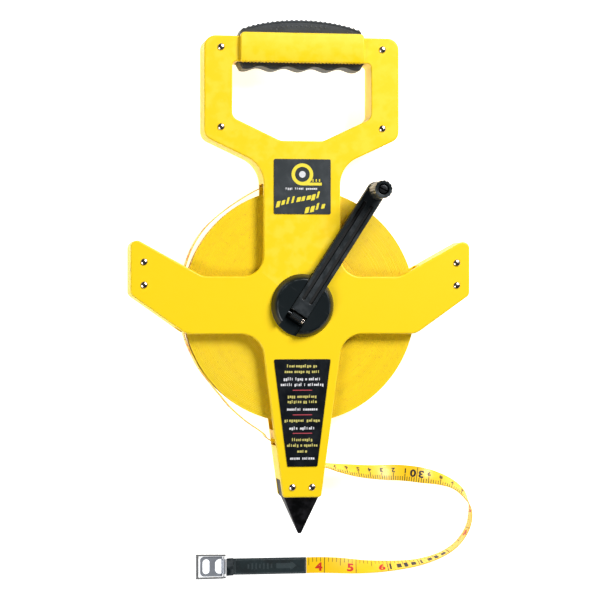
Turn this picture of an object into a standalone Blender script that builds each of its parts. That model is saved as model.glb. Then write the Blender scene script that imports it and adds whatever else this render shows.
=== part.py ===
"""Surveyor's open-reel tape: a riveted two-shell frame, a cranked reel and a tape with a folding hook.

The reel lies on its back. The origin is on the reel's axle at the resting plane, +Z runs out of the
front shell, and +Y runs towards the handle. Sizes are in millimetres and become metres in the meshes.
"""

from math import atan2, ceil, cos, pi, radians, sin, tan

import bmesh
import bpy
from mathutils import Matrix, Vector

MM = 0.001
GAP = 0.3  # what touching pieces keep between them

# Heights above the resting plane
REAR_FACE = 4.0
FRONT_FACE = 32.0
PLATE = 3.0
PARTING = 18.0
SADDLE_RISE = 4.0

# Frame outline
WALL = 2.5
HANDLE_HALF = 77.5
HANDLE_TOP = 211.2
NECK_HALF = 30.6
ARM_HALF = 135.0
ARM_TOP = 22.9
ARM_BOTTOM = -22.3
LEG_HALF_TOP = 32.6
LEG_HALF_FOOT = 15.3
LEG_FOOT = -150.6
OPENING_HALF = 55.3
OPENING_TOP = 191.1
OPENING_BOTTOM = 129.3

# Handle
SADDLE_HALF = 49.2
SADDLE_TOP = 213.9
SADDLE_FALL = 0.35  # how much of its rise the saddle loses towards its edges
GRIP_HALF = 50.7
GRIP_CROWN = 224.7
GRIP_SHOULDER = 192.5
GRIP_TOP_CORNER = 209.0
GRIP_EDGE = 2.46
CROWN_HALF = 47.5
CROWN_SPAN = 104.0
FINGER_PITCH = 21.9
FINGER_RIDGE = 185.4
FINGER_GROOVE = 188.0

# Ground spike
SPIKE_TIP = -180.2
SPIKE_HALF = 14.2
SPIKE_DEEP = 9.6
POINT_SHOULDER = 2.4
POINT_END = 1.2
NOTCH_TOP = -136.8

# Rivets, on the right side; each has a twin on the left
RIVETS = {
    "handle_upper": (64.2, 202.1),
    "handle_lower": (64.2, 139.7),
    "arm_upper": (124.4, 33.9),
    "arm_lower": (124.4, 16.0),
    "leg": (7.8, -142.6),
}
SHANK_RADIUS = 1.5
SHANK_HOLE = 1.8
RIVET_HEAD = 2.8
BOSS_RADIUS = 4.4

# Reel
TAPE_WIDTH = 12.7
TAPE_THICK = 0.6
TAPE_LOW = 9.8
PACK_RADIUS = 92.8
CORE_RADIUS = 26.0
PACK_CLEARANCE = 100.5
BUSH_BORE = 10.0
BUSH_RADIUS = 12.7
HUB_HOLE = 13.0

# Hub cap and crank
CAP_RADIUS = 24.8
CAP_TOP_RADIUS = 20.4
CAP_LOW = FRONT_FACE + GAP
CAP_TOP = 39.8
CHANNEL_FLOOR = 34.2
CHANNEL_WIDTH = 15.7
CRANK_ANGLE = radians(57.2)
CRANK_PIN = -10.5
CRANK_PIN_HEIGHT = 38.0
CRANK_REACH = 117.7
CRANK_WIDTH = 14.9
CRANK_THICK = 6.8
LUG_WIDTH = 9.0
KNOB_RADIUS = 7.0
KNOB_LENGTH = 26.0
KNOB_FLUTES = 14

# Tape leader and folding hook, which lie along -X
LEADER_Y = -207.4
LEADER_RIGHT = 8.2
LEADER_LEFT = -50.2
COLLAR_LEFT = -56.0
HOOK_PIN_X = -58.2
HOOK_PIN_HEIGHT = 2.3
HOOK_LEFT = -80.6
HOOK_ASIDE = 0.4
HOOK_PLATE_HALF = 7.8

# The loose outer turn: degrees round the reel and how far it stands off the wound tape
TURN_STAND_OFF = (
    (74, 0.5),
    (90, 2.6),
    (108, 4.7),
    (140, 3.7),
    (165, 2.7),
    (190, 1.5),
    (208, 0.7),
    (221, 0.5),
)
RUN_TO_LEG = (
    (-62.4, -71.6),
    (-54.0, -81.2),
    (-43.0, -90.8),
    (-29.6, -100.2),
    (-21.7, -107.2),
    (18.4, -126.1),
)

# The free tape's route: x, y, height of its middle, and its bank in degrees from standing on edge.
# A positive bank leans the upper edge to the left of the way the tape runs.
FREE_TAPE = (
    (19.2, -126.4, 15.7, -10),
    (33.6, -129.4, 14.4, -28),
    (48.8, -131.8, 12.0, -45),
    (63.2, -133.2, 9.4, -57),
    (82.8, -134.0, 6.6, -84),
    (97.0, -135.6, 5.4, -83),
    (114.4, -138.9, 5.8, -48),
    (127.3, -143.9, 6.5, -31),
    (135.6, -151.0, 6.8, -25),
    (140.4, -159.5, 6.8, -10),
    (141.6, -167.0, 6.8, -1),
    (140.2, -176.5, 6.8, 1),
    (135.5, -185.8, 6.8, 3),
    (127.1, -194.6, 6.8, 6),
    (114.7, -201.4, 6.8, 9),
    (98.5, -206.1, 6.6, 16),
    (82.9, -208.1, 6.2, 26),
    (69.0, -208.9, 5.5, 37),
    (57.0, -209.1, 4.7, 46),
    (46.0, -208.7, 3.7, 58),
    (33.0, -207.9, 2.2, 74),
    (19.0, -207.4, 1.2, 86),
    (8.5, -207.4, 1.1, 90),
)

CRANK_DIRECTION = Vector((cos(CRANK_ANGLE), sin(CRANK_ANGLE), 0.0))


# ---------------------------------------------------------------- materials


def material(name, colour, roughness, metallic=0.0):
    made = bpy.data.materials.new(name)
    made.use_nodes = True
    shader = made.node_tree.nodes["Principled BSDF"]
    shader.inputs["Base Color"].default_value = (*colour, 1.0)
    shader.inputs["Roughness"].default_value = roughness
    shader.inputs["Metallic"].default_value = metallic
    made.diffuse_color = (*colour, 1.0)
    return made


def yellow_plastic():
    return material("yellow_plastic", (1.0, 0.72, 0.03), 0.32)


def black_plastic():
    return material("black_plastic", (0.018, 0.02, 0.023), 0.38)


def grip_rubber():
    return material("grip_rubber", (0.06, 0.065, 0.07), 0.62)


def steel():
    return material("steel", (0.62, 0.61, 0.6), 0.22, 1.0)


def rivet_steel():
    return material("rivet_steel", (0.75, 0.74, 0.72), 0.12, 1.0)


def tape_fibreglass():
    return material("tape_fibreglass", (1.0, 0.66, 0.04), 0.45)


def acetal():
    return material("acetal", (0.75, 0.74, 0.7), 0.4)


def label_film(name, colour):
    return material(name, colour, 0.4)


# ---------------------------------------------------------------- shape tools


def clear_scene():
    for old in list(bpy.data.objects):
        bpy.data.objects.remove(old, do_unlink=True)


def finish_mesh(name, shape, paint=None, smooth_angle=None):
    """Turn a bmesh in millimetres into an object in metres."""
    bmesh.ops.recalc_face_normals(shape, faces=shape.faces)
    bmesh.ops.scale(shape, vec=(MM, MM, MM), verts=shape.verts)
    mesh = bpy.data.meshes.new(name)
    shape.to_mesh(mesh)
    shape.free()
    if smooth_angle is not None:
        mesh.shade_smooth()
        mesh.set_sharp_from_angle(angle=smooth_angle)
    made = bpy.data.objects.new(name, mesh)
    bpy.context.scene.collection.objects.link(made)
    if paint is not None:
        mesh.materials.append(paint)
    return made


def mirrored(corners):
    """Complete an outline from its right half."""
    return list(corners) + [(-x, y, r) for x, y, r in reversed(corners)]


def rounded(corners, step=radians(22.5)):
    """Give each (x, y, radius) corner of a closed outline its arc."""
    outline = []
    for index, (x, y, radius) in enumerate(corners):
        here = Vector((x, y))
        to_last = (Vector(corners[index - 1][:2]) - here).normalized()
        to_next = (Vector(corners[(index + 1) % len(corners)][:2]) - here).normalized()
        half_angle = to_last.angle(to_next) / 2
        if radius <= 0 or half_angle > pi / 2 - 0.001:
            outline.append(here)
            continue
        centre = here + (to_last + to_next).normalized() * (radius / sin(half_angle))
        start = here + to_last * (radius / tan(half_angle)) - centre
        turn = pi - 2 * half_angle
        if start.y * to_last.x < start.x * to_last.y:
            turn = -turn
        count = max(1, ceil(abs(turn) / step))
        for stop in range(count + 1):
            angle = turn * stop / count
            arm_x = start.x * cos(angle) - start.y * sin(angle)
            arm_y = start.x * sin(angle) + start.y * cos(angle)
            arm = Vector((arm_x, arm_y))
            outline.append(centre + arm)
    return outline


def inset(outline, distance):
    """Move a clockwise outline inwards by a distance."""
    moved = []
    for index, here in enumerate(outline):
        before = (here - outline[index - 1]).normalized()
        after = (outline[(index + 1) % len(outline)] - here).normalized()
        inward = Vector((before.y + after.y, -before.x - after.x)).normalized()
        square = max(0.3, inward.dot(Vector((before.y, -before.x))))
        moved.append(here + inward * (distance / square))
    return moved


def add_prism(shape, outline, low, high):
    """Extrude a closed outline between two heights."""
    ring = [shape.verts.new((point[0], point[1], low)) for point in outline]
    base = shape.faces.new(ring)
    raised = bmesh.ops.extrude_face_region(shape, geom=[base])["geom"]
    tops = [item for item in raised if isinstance(item, bmesh.types.BMVert)]
    bmesh.ops.translate(shape, vec=(0, 0, high - low), verts=tops)


def add_rod(shape, x, y, radius, low, high, segments=20):
    """Add an upright cylinder."""
    matrix = Matrix.Translation((x, y, (low + high) / 2))
    bmesh.ops.create_cone(
        shape,
        cap_ends=True,
        segments=segments,
        radius1=radius,
        radius2=radius,
        depth=high - low,
        matrix=matrix,
    )


def add_cross_rod(shape, radius, length, x=0.0, y=0.0, z=0.0, segments=16):
    """Add a rod that lies along Y with its middle at a point."""
    turn = Matrix.Translation((x, y, z)) @ Matrix.Rotation(pi / 2, 4, "X")
    bmesh.ops.create_cone(
        shape, cap_ends=True, segments=segments, radius1=radius, radius2=radius, depth=length, matrix=turn
    )


def bridge(shape, rings):
    """Join rings of as many vertices into one closed body."""
    for first, second in zip(rings, rings[1:]):
        for index in range(len(first)):
            after = (index + 1) % len(first)
            shape.faces.new((first[index], first[after], second[after], second[index]))
    shape.faces.new(rings[0])
    shape.faces.new(reversed(rings[-1]))


def add_box(shape, low, high):
    """Add a box between two corners."""
    centre = [(a + b) / 2 for a, b in zip(low, high)]
    sizes = [b - a for a, b in zip(low, high)]
    matrix = Matrix.Translation(centre) @ Matrix.Diagonal((*sizes, 1.0))
    bmesh.ops.create_cube(shape, size=1.0, matrix=matrix)


def prism(name, outline, low, high, paint=None):
    shape = bmesh.new()
    add_prism(shape, outline, low, high)
    return finish_mesh(name, shape, paint)


def turned(name, profile, paint=None, segments=48, closed=True):
    """Spin a profile of (radius, height) points round the Z axis."""
    shape = bmesh.new()
    points = [shape.verts.new((radius, 0, height)) for radius, height in profile]
    pairs = list(zip(points, points[1:]))
    if closed:
        pairs.append((points[-1], points[0]))
    edges = [shape.edges.new(pair) for pair in pairs]
    bmesh.ops.spin(
        shape,
        geom=points + edges,
        cent=(0, 0, 0),
        axis=(0, 0, 1),
        angle=2 * pi,
        steps=segments,
        use_merge=True,
    )
    bmesh.ops.remove_doubles(shape, verts=shape.verts, dist=0.001)
    return finish_mesh(name, shape, paint, radians(35))


def stepped_hole(name, x, y, steps):
    """A cutter of stacked cylinders, each (radius, low, high), for a counterbored hole."""
    profile = [(0, steps[0][1])]
    for radius, low, high in steps:
        profile += [(radius, low), (radius, high)]
    profile.append((0, steps[-1][2]))
    hole = turned(name, profile, segments=18, closed=False)
    hole.location = (x * MM, y * MM, 0)
    return hole


def helper(made):
    """Mark a cutter or a shape that is joined to another."""
    made.hide_render = True
    made.display_type = "WIRE"
    return made


def combine(base, other, operation):
    change = base.modifiers.new(operation.lower(), "BOOLEAN")
    change.operation = operation
    change.solver = "EXACT"
    change.object = helper(other)


def cut(base, other):
    combine(base, other, "DIFFERENCE")


def join(base, other):
    combine(base, other, "UNION")


def ribbon(name, stations, paint):
    """Sweep the tape's cross-section along stations of (centre, direction across the tape, way along)."""
    shape = bmesh.new()
    rings = []
    for centre, across, along in stations:
        thick = across.cross(along).normalized() * (TAPE_THICK / 2)
        wide = across * (TAPE_WIDTH / 2)
        corners = (wide + thick, wide - thick, -wide - thick, -wide + thick)
        rings.append([shape.verts.new(centre + corner) for corner in corners])
    bridge(shape, rings)
    return finish_mesh(name, shape, paint)


def smooth_through(points, per_span):
    """A smooth curve (Catmull-Rom) through points of any dimension, open at both ends."""
    padded = [2 * points[0] - points[1], *points, 2 * points[-1] - points[-2]]
    curve = []
    for a, b, c, d in zip(padded, padded[1:], padded[2:], padded[3:]):
        for stop in range(per_span):
            t = stop / per_span
            bend = 2 * a - 5 * b + 4 * c - d
            twist = 3 * b - a - 3 * c + d
            curve.append(0.5 * (2 * b + (c - a) * t + bend * t * t + twist * t ** 3))
    return curve + [points[-1]]


# ---------------------------------------------------------------- frame


def frame_outline():
    return rounded(
        mirrored(
            [
                (HANDLE_HALF, HANDLE_TOP, 9.1),
                (HANDLE_HALF, 131.9, 8.6),
                (NECK_HALF, 109.9, 23.0),
                (NECK_HALF, ARM_TOP, 16.3),
                (78.5, ARM_TOP, 14.0),
                (ARM_HALF, 54.2, 5.2),
                (ARM_HALF, 8.4, 5.2),
                (91.4, ARM_BOTTOM, 14.0),
                (LEG_HALF_TOP, ARM_BOTTOM, 18.0),
                (LEG_HALF_FOOT, LEG_FOOT, 2.6),
            ]
        )
    )


def opening_outline():
    return rounded(
        mirrored(
            [
                (OPENING_HALF, OPENING_TOP, 3.5),
                (OPENING_HALF, 147.4, 7.0),
                (17.0, OPENING_BOTTOM, 12.0),
            ]
        )
    )


def rivet_places():
    for name, (x, y) in RIVETS.items():
        yield name + "_right", x, y
        yield name + "_left", -x, y


def saddle(name, base, crest):
    """The raised bar that clamps the grip, crowned across its height."""
    middle = (OPENING_TOP + SADDLE_TOP) / 2
    half = (SADDLE_TOP - OPENING_TOP) / 2
    rise = crest - base
    section = [(middle - half, base)]
    for side in (-1, -0.6, 0, 0.6, 1):
        section.append((middle + half * side, base + rise * (1 - SADDLE_FALL * side * side)))
    section.append((middle + half, base))
    shape = bmesh.new()
    ring = [shape.verts.new((-SADDLE_HALF, y, z)) for y, z in section]
    end = shape.faces.new(ring)
    raised = bmesh.ops.extrude_face_region(shape, geom=[end])["geom"]
    tops = [item for item in raised if isinstance(item, bmesh.types.BMVert)]
    bmesh.ops.translate(shape, vec=(2 * SADDLE_HALF, 0, 0), verts=tops)
    return finish_mesh(name, shape)


def shell_hollow(side, inner, outer):
    """Everything inside the walls, which run round the outline and round the hand opening."""
    hollow = prism(side + "_hollow", inset(frame_outline(), WALL), inner, outer)
    island = prism(side + "_island", inset(opening_outline(), -WALL), inner - 1, outer + 1)
    cut(hollow, island)
    return hollow


def shell_clearances(side, inner, outer):
    """The hand opening, the reel's way, the grip's way, the tape's slot and the spike's notches."""
    low, high = min(inner, outer), max(inner, outer)
    opening = prism(side + "_hand_opening", opening_outline(), REAR_FACE - 5, FRONT_FACE + 5)
    ways = bmesh.new()
    lip = 1.0 if inner < PARTING else -1.0
    reel_low, reel_high = sorted((inner + lip, outer))
    add_rod(ways, 0, 0, PACK_CLEARANCE, reel_low, reel_high, segments=64)
    grip_way = bmesh.new()
    add_box(grip_way, (-GRIP_HALF - GAP, 180, low), (GRIP_HALF + GAP, 230, high))
    notch = bmesh.new()
    add_box(notch, (-30, LEG_FOOT - 5, low), (30, NOTCH_TOP, high))
    cutters = [
        opening,
        finish_mesh(side + "_reel_way", ways),
        finish_mesh(side + "_grip_way", grip_way),
        finish_mesh(side + "_spike_notch", notch),
    ]
    if inner < PARTING:
        cutters.append(tape_slot(side, 9.0, 30))
    else:
        cutters.append(tape_slot(side, 5, 23.5))
    return cutters


def tape_slot(side, low, high):
    """The slanted way through both sides of the leg."""
    start = Vector((*RUN_TO_LEG[-2], 0))
    end = Vector((*RUN_TO_LEG[-1], 0))
    middle = (start + end) / 2
    along = end - start
    shape = bmesh.new()
    add_box(shape, (-40, -2.2, low), (40, 2.2, high))
    turn = Matrix.Translation(middle) @ Matrix.Rotation(atan2(along.y, along.x), 4, "Z")
    bmesh.ops.transform(shape, matrix=turn, verts=shape.verts)
    return finish_mesh(side + "_tape_slot", shape)


def shell_holes(side):
    """The rivet holes and the hub's bore."""
    shape = bmesh.new()
    for _, x, y in rivet_places():
        add_rod(shape, x, y, SHANK_HOLE, REAR_FACE - 6, FRONT_FACE + 6, segments=10)
    add_rod(shape, 0, 0, HUB_HOLE, REAR_FACE - 6, FRONT_FACE + 6, segments=32)
    return finish_mesh(side + "_holes", shape)


def shell_bosses(side, low, high):
    """The posts that the rivets run through, away from the spike."""
    shape = bmesh.new()
    for name, x, y in rivet_places():
        if not name.startswith("leg"):
            add_rod(shape, x, y, BOSS_RADIUS, low, high, segments=12)
    return finish_mesh(side + "_bosses", shape)


def frame_shell(name, face, side, paint):
    """One moulded half of the frame. side is 1 at the front and -1 at the rear."""
    inner = face - side * PLATE
    edge = PARTING + side * GAP / 2
    body = prism(name, frame_outline(), *sorted((face, edge)), paint)
    join(body, saddle(name + "_saddle", face - side, face + side * SADDLE_RISE))
    cut(body, shell_hollow(name, *sorted((inner, edge - side * 5))))
    join(body, shell_bosses(name, *sorted((inner + side * 0.5, edge))))
    reach = edge - side * 5
    for cutter in shell_clearances(name, inner, reach):
        cut(body, cutter)
    cut(body, shell_holes(name))
    return body


def ground_spike(paint):
    """A wedge point whose shank is held between the shells by the leg rivets."""
    foot = LEG_FOOT - GAP
    low, high = REAR_FACE + PLATE + GAP, FRONT_FACE - PLATE - GAP
    slope = (LEG_HALF_TOP - LEG_HALF_FOOT) / (ARM_BOTTOM - LEG_FOOT)
    shank_half = LEG_HALF_FOOT + slope * (NOTCH_TOP - GAP - LEG_FOOT) - GAP
    shank = [
        (shank_half, NOTCH_TOP - GAP),
        (LEG_HALF_FOOT - GAP, LEG_FOOT + 2.5),
        (SPIKE_HALF + 0.2, foot),
    ]
    spike = prism("ground_spike", shank + [(-x, y) for x, y in reversed(shank)], low, high, paint)
    shape = bmesh.new()
    middle = (low + high) / 2
    rings = []
    sections = (
        (SPIKE_HALF, foot + 1, SPIKE_DEEP),
        (SPIKE_HALF, foot, SPIKE_DEEP),
        (POINT_SHOULDER, SPIKE_TIP + 2, POINT_SHOULDER),
        (POINT_END, SPIKE_TIP, POINT_END),
    )
    for half, y, deep in sections:
        corners = ((-half, -deep), (half, -deep), (half, deep), (-half, deep))
        rings.append([shape.verts.new((x, y, middle + z)) for x, z in corners])
    bridge(shape, rings)
    join(spike, finish_mesh("spike_point", shape))
    holes = bmesh.new()
    for side in (-1, 1):
        x, y = RIVETS["leg"]
        add_rod(holes, side * x, y, SHANK_HOLE, low - 2, high + 2, segments=12)
    cut(spike, finish_mesh("spike_rivet_holes", holes))
    return spike


def handle_grip(paint):
    """The rubber grip: a crowned top and five finger ridges below."""
    outline = [(-GRIP_HALF, GRIP_SHOULDER)]
    steps = 40
    for stop in range(steps + 1):
        x = 4.3 * FINGER_PITCH * (stop / steps - 0.5)
        wave = cos(pi * x / FINGER_PITCH) ** 2
        outline.append((x, FINGER_GROOVE + (FINGER_RIDGE - FINGER_GROOVE) * wave))
    outline.append((GRIP_HALF, GRIP_SHOULDER))
    outline.append((GRIP_HALF, GRIP_TOP_CORNER))
    crown_steps = 14
    crown_foot = SADDLE_TOP - 1
    for stop in range(crown_steps + 1):
        x = CROWN_HALF * (1 - 2 * stop / crown_steps)
        arch = cos(pi * x / CROWN_SPAN) ** 0.58
        outline.append((x, crown_foot + (GRIP_CROWN - crown_foot) * arch))
    outline.append((-GRIP_HALF, 209.0))
    low, high = REAR_FACE + PLATE + GAP, FRONT_FACE - PLATE - GAP
    grip = prism("handle_grip", outline, low, high, paint)
    round_edges = grip.modifiers.new("round_edges", "BEVEL")
    round_edges.width = GRIP_EDGE * MM
    round_edges.segments = 2
    round_edges.limit_method = "ANGLE"
    round_edges.angle_limit = radians(60)
    return grip


def rivet(name, x, y, paint):
    """A shank with a domed head outside each shell."""
    head_height = 1.5
    top = FRONT_FACE + GAP
    bottom = REAR_FACE - GAP
    profile = [
        (0, bottom - head_height),
        (RIVET_HEAD, bottom - head_height * 0.3),
        (RIVET_HEAD, bottom),
        (SHANK_RADIUS, bottom),
        (SHANK_RADIUS, top),
        (RIVET_HEAD, top),
        (RIVET_HEAD, top + head_height * 0.3),
        (0, top + head_height),
    ]
    made = turned(name, profile, paint, segments=12, closed=False)
    made.location = (x * MM, y * MM, 0)
    return made


def labels():
    """Two thin plates on the front face: one on the neck and one down the leg."""
    low = FRONT_FACE + GAP
    upper = rounded(mirrored([(22.6, 115.0, 1.2), (22.6, 71.8, 1.2)]))
    lower = rounded(mirrored([(22.6, -42.1, 1.2), (11.9, -126.4, 1.2)]))
    prism("upper_label", upper, low, low + 0.3, label_film("upper_label", (0.07, 0.08, 0.09)))
    prism("lower_label", lower, low, low + 0.3, label_film("lower_label", (0.008, 0.012, 0.02)))


# ---------------------------------------------------------------- reel


def wound_tape(paint):
    profile = [
        (CORE_RADIUS + GAP, TAPE_LOW),
        (PACK_RADIUS, TAPE_LOW),
        (PACK_RADIUS, TAPE_LOW + TAPE_WIDTH),
        (CORE_RADIUS + GAP, TAPE_LOW + TAPE_WIDTH),
    ]
    return turned("wound_tape", profile, paint, segments=72)


def spool_core(paint):
    """The drum that the tape is wound on, with its web and its hub."""
    bottom, top = TAPE_LOW - 0.6, TAPE_LOW + TAPE_WIDTH + 0.6
    web_low, web_high = 14.5, 17.5
    profile = [
        (4.6, 4.6),
        (9.7, 4.6),
        (9.7, web_low),
        (23.5, web_low),
        (23.5, bottom),
        (CORE_RADIUS, bottom),
        (CORE_RADIUS, top),
        (23.5, top),
        (23.5, web_high),
        (9.7, web_high),
        (9.7, 27.5),
        (4.6, 27.5),
    ]
    core = turned("spool_core", profile, paint, segments=32)
    drive = bmesh.new()
    add_box(drive, (-5.0, -5.0, 27.0), (5.0, 5.0, 30.5))
    join(core, finish_mesh("core_square", drive))
    bore = bmesh.new()
    add_rod(bore, 0, 0, 4.4, 0, 35, segments=24)
    cut(core, finish_mesh("core_bore", bore))
    return core


def axle_shaft(paint):
    """The steel shaft: a groove for its clip at the rear, a tapped hole for the cap's screw in front."""
    profile = [
        (0, 1.6),
        (4.0, 1.6),
        (4.0, 2.2),
        (3.2, 2.2),
        (3.2, 3.2),
        (4.0, 3.2),
        (4.0, 30.0),
        (2.0, 30.0),
        (2.0, 16.0),
        (0, 16.0),
    ]
    return turned("axle_shaft", profile, paint, segments=24, closed=False)


def axle_clip(paint):
    """The split ring in the shaft's groove."""
    profile = [(3.5, 2.4), (6.2, 2.4), (6.2, 3.0), (3.5, 3.0)]
    clip = turned("axle_clip", profile, paint, segments=24)
    mouth = bmesh.new()
    add_box(mouth, (0, -1.4, 0), (10, 1.4, 6))
    cut(clip, finish_mesh("clip_mouth", mouth))
    return clip


def bush(name, outer_low, outer_high, flange_low, flange_high, paint):
    """A flanged bearing bush in a shell's bore."""
    if flange_low < outer_low:
        profile = [
            (BUSH_BORE, flange_low),
            (16.0, flange_low),
            (16.0, flange_high),
            (BUSH_RADIUS, flange_high),
            (BUSH_RADIUS, outer_high),
            (BUSH_BORE, outer_high),
        ]
    else:
        profile = [
            (BUSH_BORE, outer_low),
            (BUSH_RADIUS, outer_low),
            (BUSH_RADIUS, flange_low),
            (16.0, flange_low),
            (16.0, flange_high),
            (BUSH_BORE, flange_high),
        ]
    return turned(name, profile, paint, segments=28)


def bearing_cover(paint):
    """The rear disc that closes the bearing, and that the reel rests on."""
    profile = [
        (0, 0),
        (21.5, 0),
        (23.0, 1.2),
        (23.0, REAR_FACE - GAP),
        (9.0, REAR_FACE - GAP),
        (9.0, 1.2),
        (0, 1.2),
    ]
    cover = turned("rear_bearing_cover", profile, paint, segments=32, closed=False)
    for index, (x, y) in enumerate(cover_screw_places(), start=1):
        cut(cover, stepped_hole(f"cover_hole_{index}", x, y, ((3.3, -2, 1.9), (1.6, 1.9, 6))))
    return cover


def cover_screw_places():
    for index in range(3):
        angle = radians(90 + 120 * index)
        yield 18.0 * cos(angle), 18.0 * sin(angle)


def cover_screw(name, x, y, paint):
    profile = [
        (0, 0.5),
        (3.0, 0.5),
        (3.0, 1.6),
        (1.3, 1.6),
        (1.3, 6.3),
        (0, 6.3),
    ]
    made = turned(name, profile, paint, segments=16, closed=False)
    made.location = (x * MM, y * MM, 0)
    return made


def screw_pilots(shell):
    """Holes in the rear shell for the cover's screws."""
    shape = bmesh.new()
    for x, y in cover_screw_places():
        add_rod(shape, x, y, 1.6, 0, 6.7, segments=12)
    cut(shell, finish_mesh("screw_pilots", shape))


# ---------------------------------------------------------------- hub cap and crank


def on_crank(made):
    """Turn a shape that is modelled along +X into the crank's direction."""
    made.rotation_euler = (0, 0, CRANK_ANGLE)
    return made


def hub_cap(paint):
    """The conical cap, slotted across for the crank arm, on a spigot with a square socket."""
    profile = [
        (0, 27.9),
        (9.7, 27.9),
        (9.7, CAP_LOW),
        (CAP_RADIUS, CAP_LOW),
        (CAP_RADIUS, CAP_LOW + 0.9),
        (CAP_TOP_RADIUS + 0.8, CAP_TOP - 0.7),
        (CAP_TOP_RADIUS, CAP_TOP),
        (0, CAP_TOP),
    ]
    cap = turned("hub_cap", profile, paint, segments=40, closed=False)
    ways = bmesh.new()
    half = CHANNEL_WIDTH / 2
    add_box(ways, (-40, -half, CHANNEL_FLOOR), (40, half, CAP_TOP + 5))
    cut(cap, on_crank(finish_mesh("crank_channel", ways)))
    pocket = bmesh.new()
    low_corner = (CRANK_PIN - 4.6, -half + GAP, CAP_LOW + 0.7)
    high_corner = (CRANK_PIN + 4.6, half - GAP, CAP_TOP + 4)
    add_box(pocket, low_corner, high_corner)
    cut(cap, on_crank(finish_mesh("lug_pocket", pocket)))
    pin_way = bmesh.new()
    add_cross_rod(pin_way, 1.3, 23.0, x=CRANK_PIN, z=CRANK_PIN_HEIGHT)
    cut(cap, on_crank(finish_mesh("pin_way", pin_way)))
    socket = bmesh.new()
    add_box(socket, (-5.3, -5.3, 20), (5.3, 5.3, 30.9))
    cut(cap, finish_mesh("cap_socket", socket))
    cut(cap, stepped_hole("cap_screw_hole", 0, 0, ((1.9, 25, 32.7), (3.7, 32.7, 45))))
    return cap


def cap_screw(paint):
    """The screw that holds the cap on the shaft, under the crank arm."""
    profile = [
        (0, 17.0),
        (1.5, 17.0),
        (1.5, 33.0),
        (3.3, 33.0),
        (3.3, CHANNEL_FLOOR - 0.1),
        (0, CHANNEL_FLOOR - 0.1),
    ]
    return turned("hub_cap_screw", profile, paint, segments=16, closed=False)


def crank_empty():
    """The crank's hinge line."""
    hinge = bpy.data.objects.new("crank_hinge", None)
    hinge.location = CRANK_DIRECTION * (CRANK_PIN * MM) + Vector((0, 0, CRANK_PIN_HEIGHT * MM))
    hinge.rotation_euler = (0, 0, CRANK_ANGLE)
    bpy.context.scene.collection.objects.link(hinge)
    return hinge


def crank_arm(hinge, paint):
    """The arm in the hinge's frame: its lug at the origin, its knob at CRANK_REACH along +X."""
    half, low, high = CRANK_WIDTH / 2, -CRANK_THICK / 2, CRANK_THICK / 2
    start = 3.4
    outline = [(start, half), (CRANK_REACH, half)]
    for stop in range(1, 9):
        angle = pi / 2 - pi * stop / 9
        outline.append((CRANK_REACH + half * cos(angle), half * sin(angle)))
    outline += [(CRANK_REACH, -half), (start, -half)]
    arm = prism("crank_arm", outline, low, high, paint)
    arm.parent = hinge
    lug = bmesh.new()
    add_cross_rod(lug, CRANK_THICK / 2, LUG_WIDTH, segments=20)
    lug_round = finish_mesh("arm_lug_round", lug)
    lug_round.parent = hinge
    join(arm, lug_round)
    tongue = bmesh.new()
    add_box(tongue, (0, -LUG_WIDTH / 2, low), (start + 4, LUG_WIDTH / 2, high))
    tongue_box = finish_mesh("arm_tongue", tongue)
    tongue_box.parent = hinge
    join(arm, tongue_box)
    ways = bmesh.new()
    add_cross_rod(ways, 1.3, 20)
    for side in (-1, 1):
        y_low, y_high = sorted((side * 1.9, side * 4.7))
        add_box(ways, (14.0, y_low, high - 2.6), (CRANK_REACH - 12, y_high, high + 2))
    seat = low + 1.8
    screw_hole = stepped_hole("arm_screw_hole", CRANK_REACH, 0, ((4.2, low - 2, seat), (2.3, seat, high + 2)))
    for cutter in (finish_mesh("arm_ways", ways), screw_hole):
        cutter.parent = hinge
        cut(arm, cutter)
    return arm


def crank_pin(hinge, paint):
    """The pin that the arm folds on."""
    shape = bmesh.new()
    add_cross_rod(shape, 1.0, 22.0)
    pin = finish_mesh("crank_hinge_pin", shape, paint, radians(35))
    pin.parent = hinge
    return pin


def crank_spring(hinge, paint):
    """The small spring on the pin, between the lug and the channel's wall, that steadies the arm."""
    shape = bmesh.new()
    wire, coil, turns, per_turn, sides = 0.32, 2.1, 2.0, 14, 6
    start, pitch = -5.2, -1.0
    rings = []
    steps = int(turns * per_turn)
    for step in range(steps + 1):
        angle = 2 * pi * step / per_turn
        outward = Vector((cos(angle), 0, sin(angle)))
        middle = outward * coil + Vector((0, start + pitch * step / per_turn, 0))
        ring = []
        for side in range(sides):
            round_wire = 2 * pi * side / sides
            sideways = Vector((0, wire * sin(round_wire), 0))
            ring.append(shape.verts.new(middle + outward * (wire * cos(round_wire)) + sideways))
        rings.append(ring)
    bridge(shape, rings)
    spring = finish_mesh("crank_spring", shape, paint, radians(60))
    spring.parent = hinge
    return spring


def crank_knob(hinge, paint):
    """The fluted knob, which turns on its own screw."""
    low = CRANK_THICK / 2 + GAP
    high = low + KNOB_LENGTH
    around = 4 * KNOB_FLUTES
    outline = []
    for stop in range(around):
        angle = -2 * pi * stop / around
        radius = KNOB_RADIUS - 0.35 + 0.35 * cos(KNOB_FLUTES * angle)
        outline.append((radius * cos(angle), radius * sin(angle)))
    knob = prism("crank_knob", outline, low, high, paint)
    knob.parent = hinge
    knob.location = (CRANK_REACH * MM, 0, 0)
    recess = high - 4
    bore = stepped_hole("knob_bore", CRANK_REACH, 0, ((2.3, low - 2, recess), (4.3, recess, high + 2)))
    bore.parent = hinge
    cut(knob, bore)
    return knob


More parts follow.
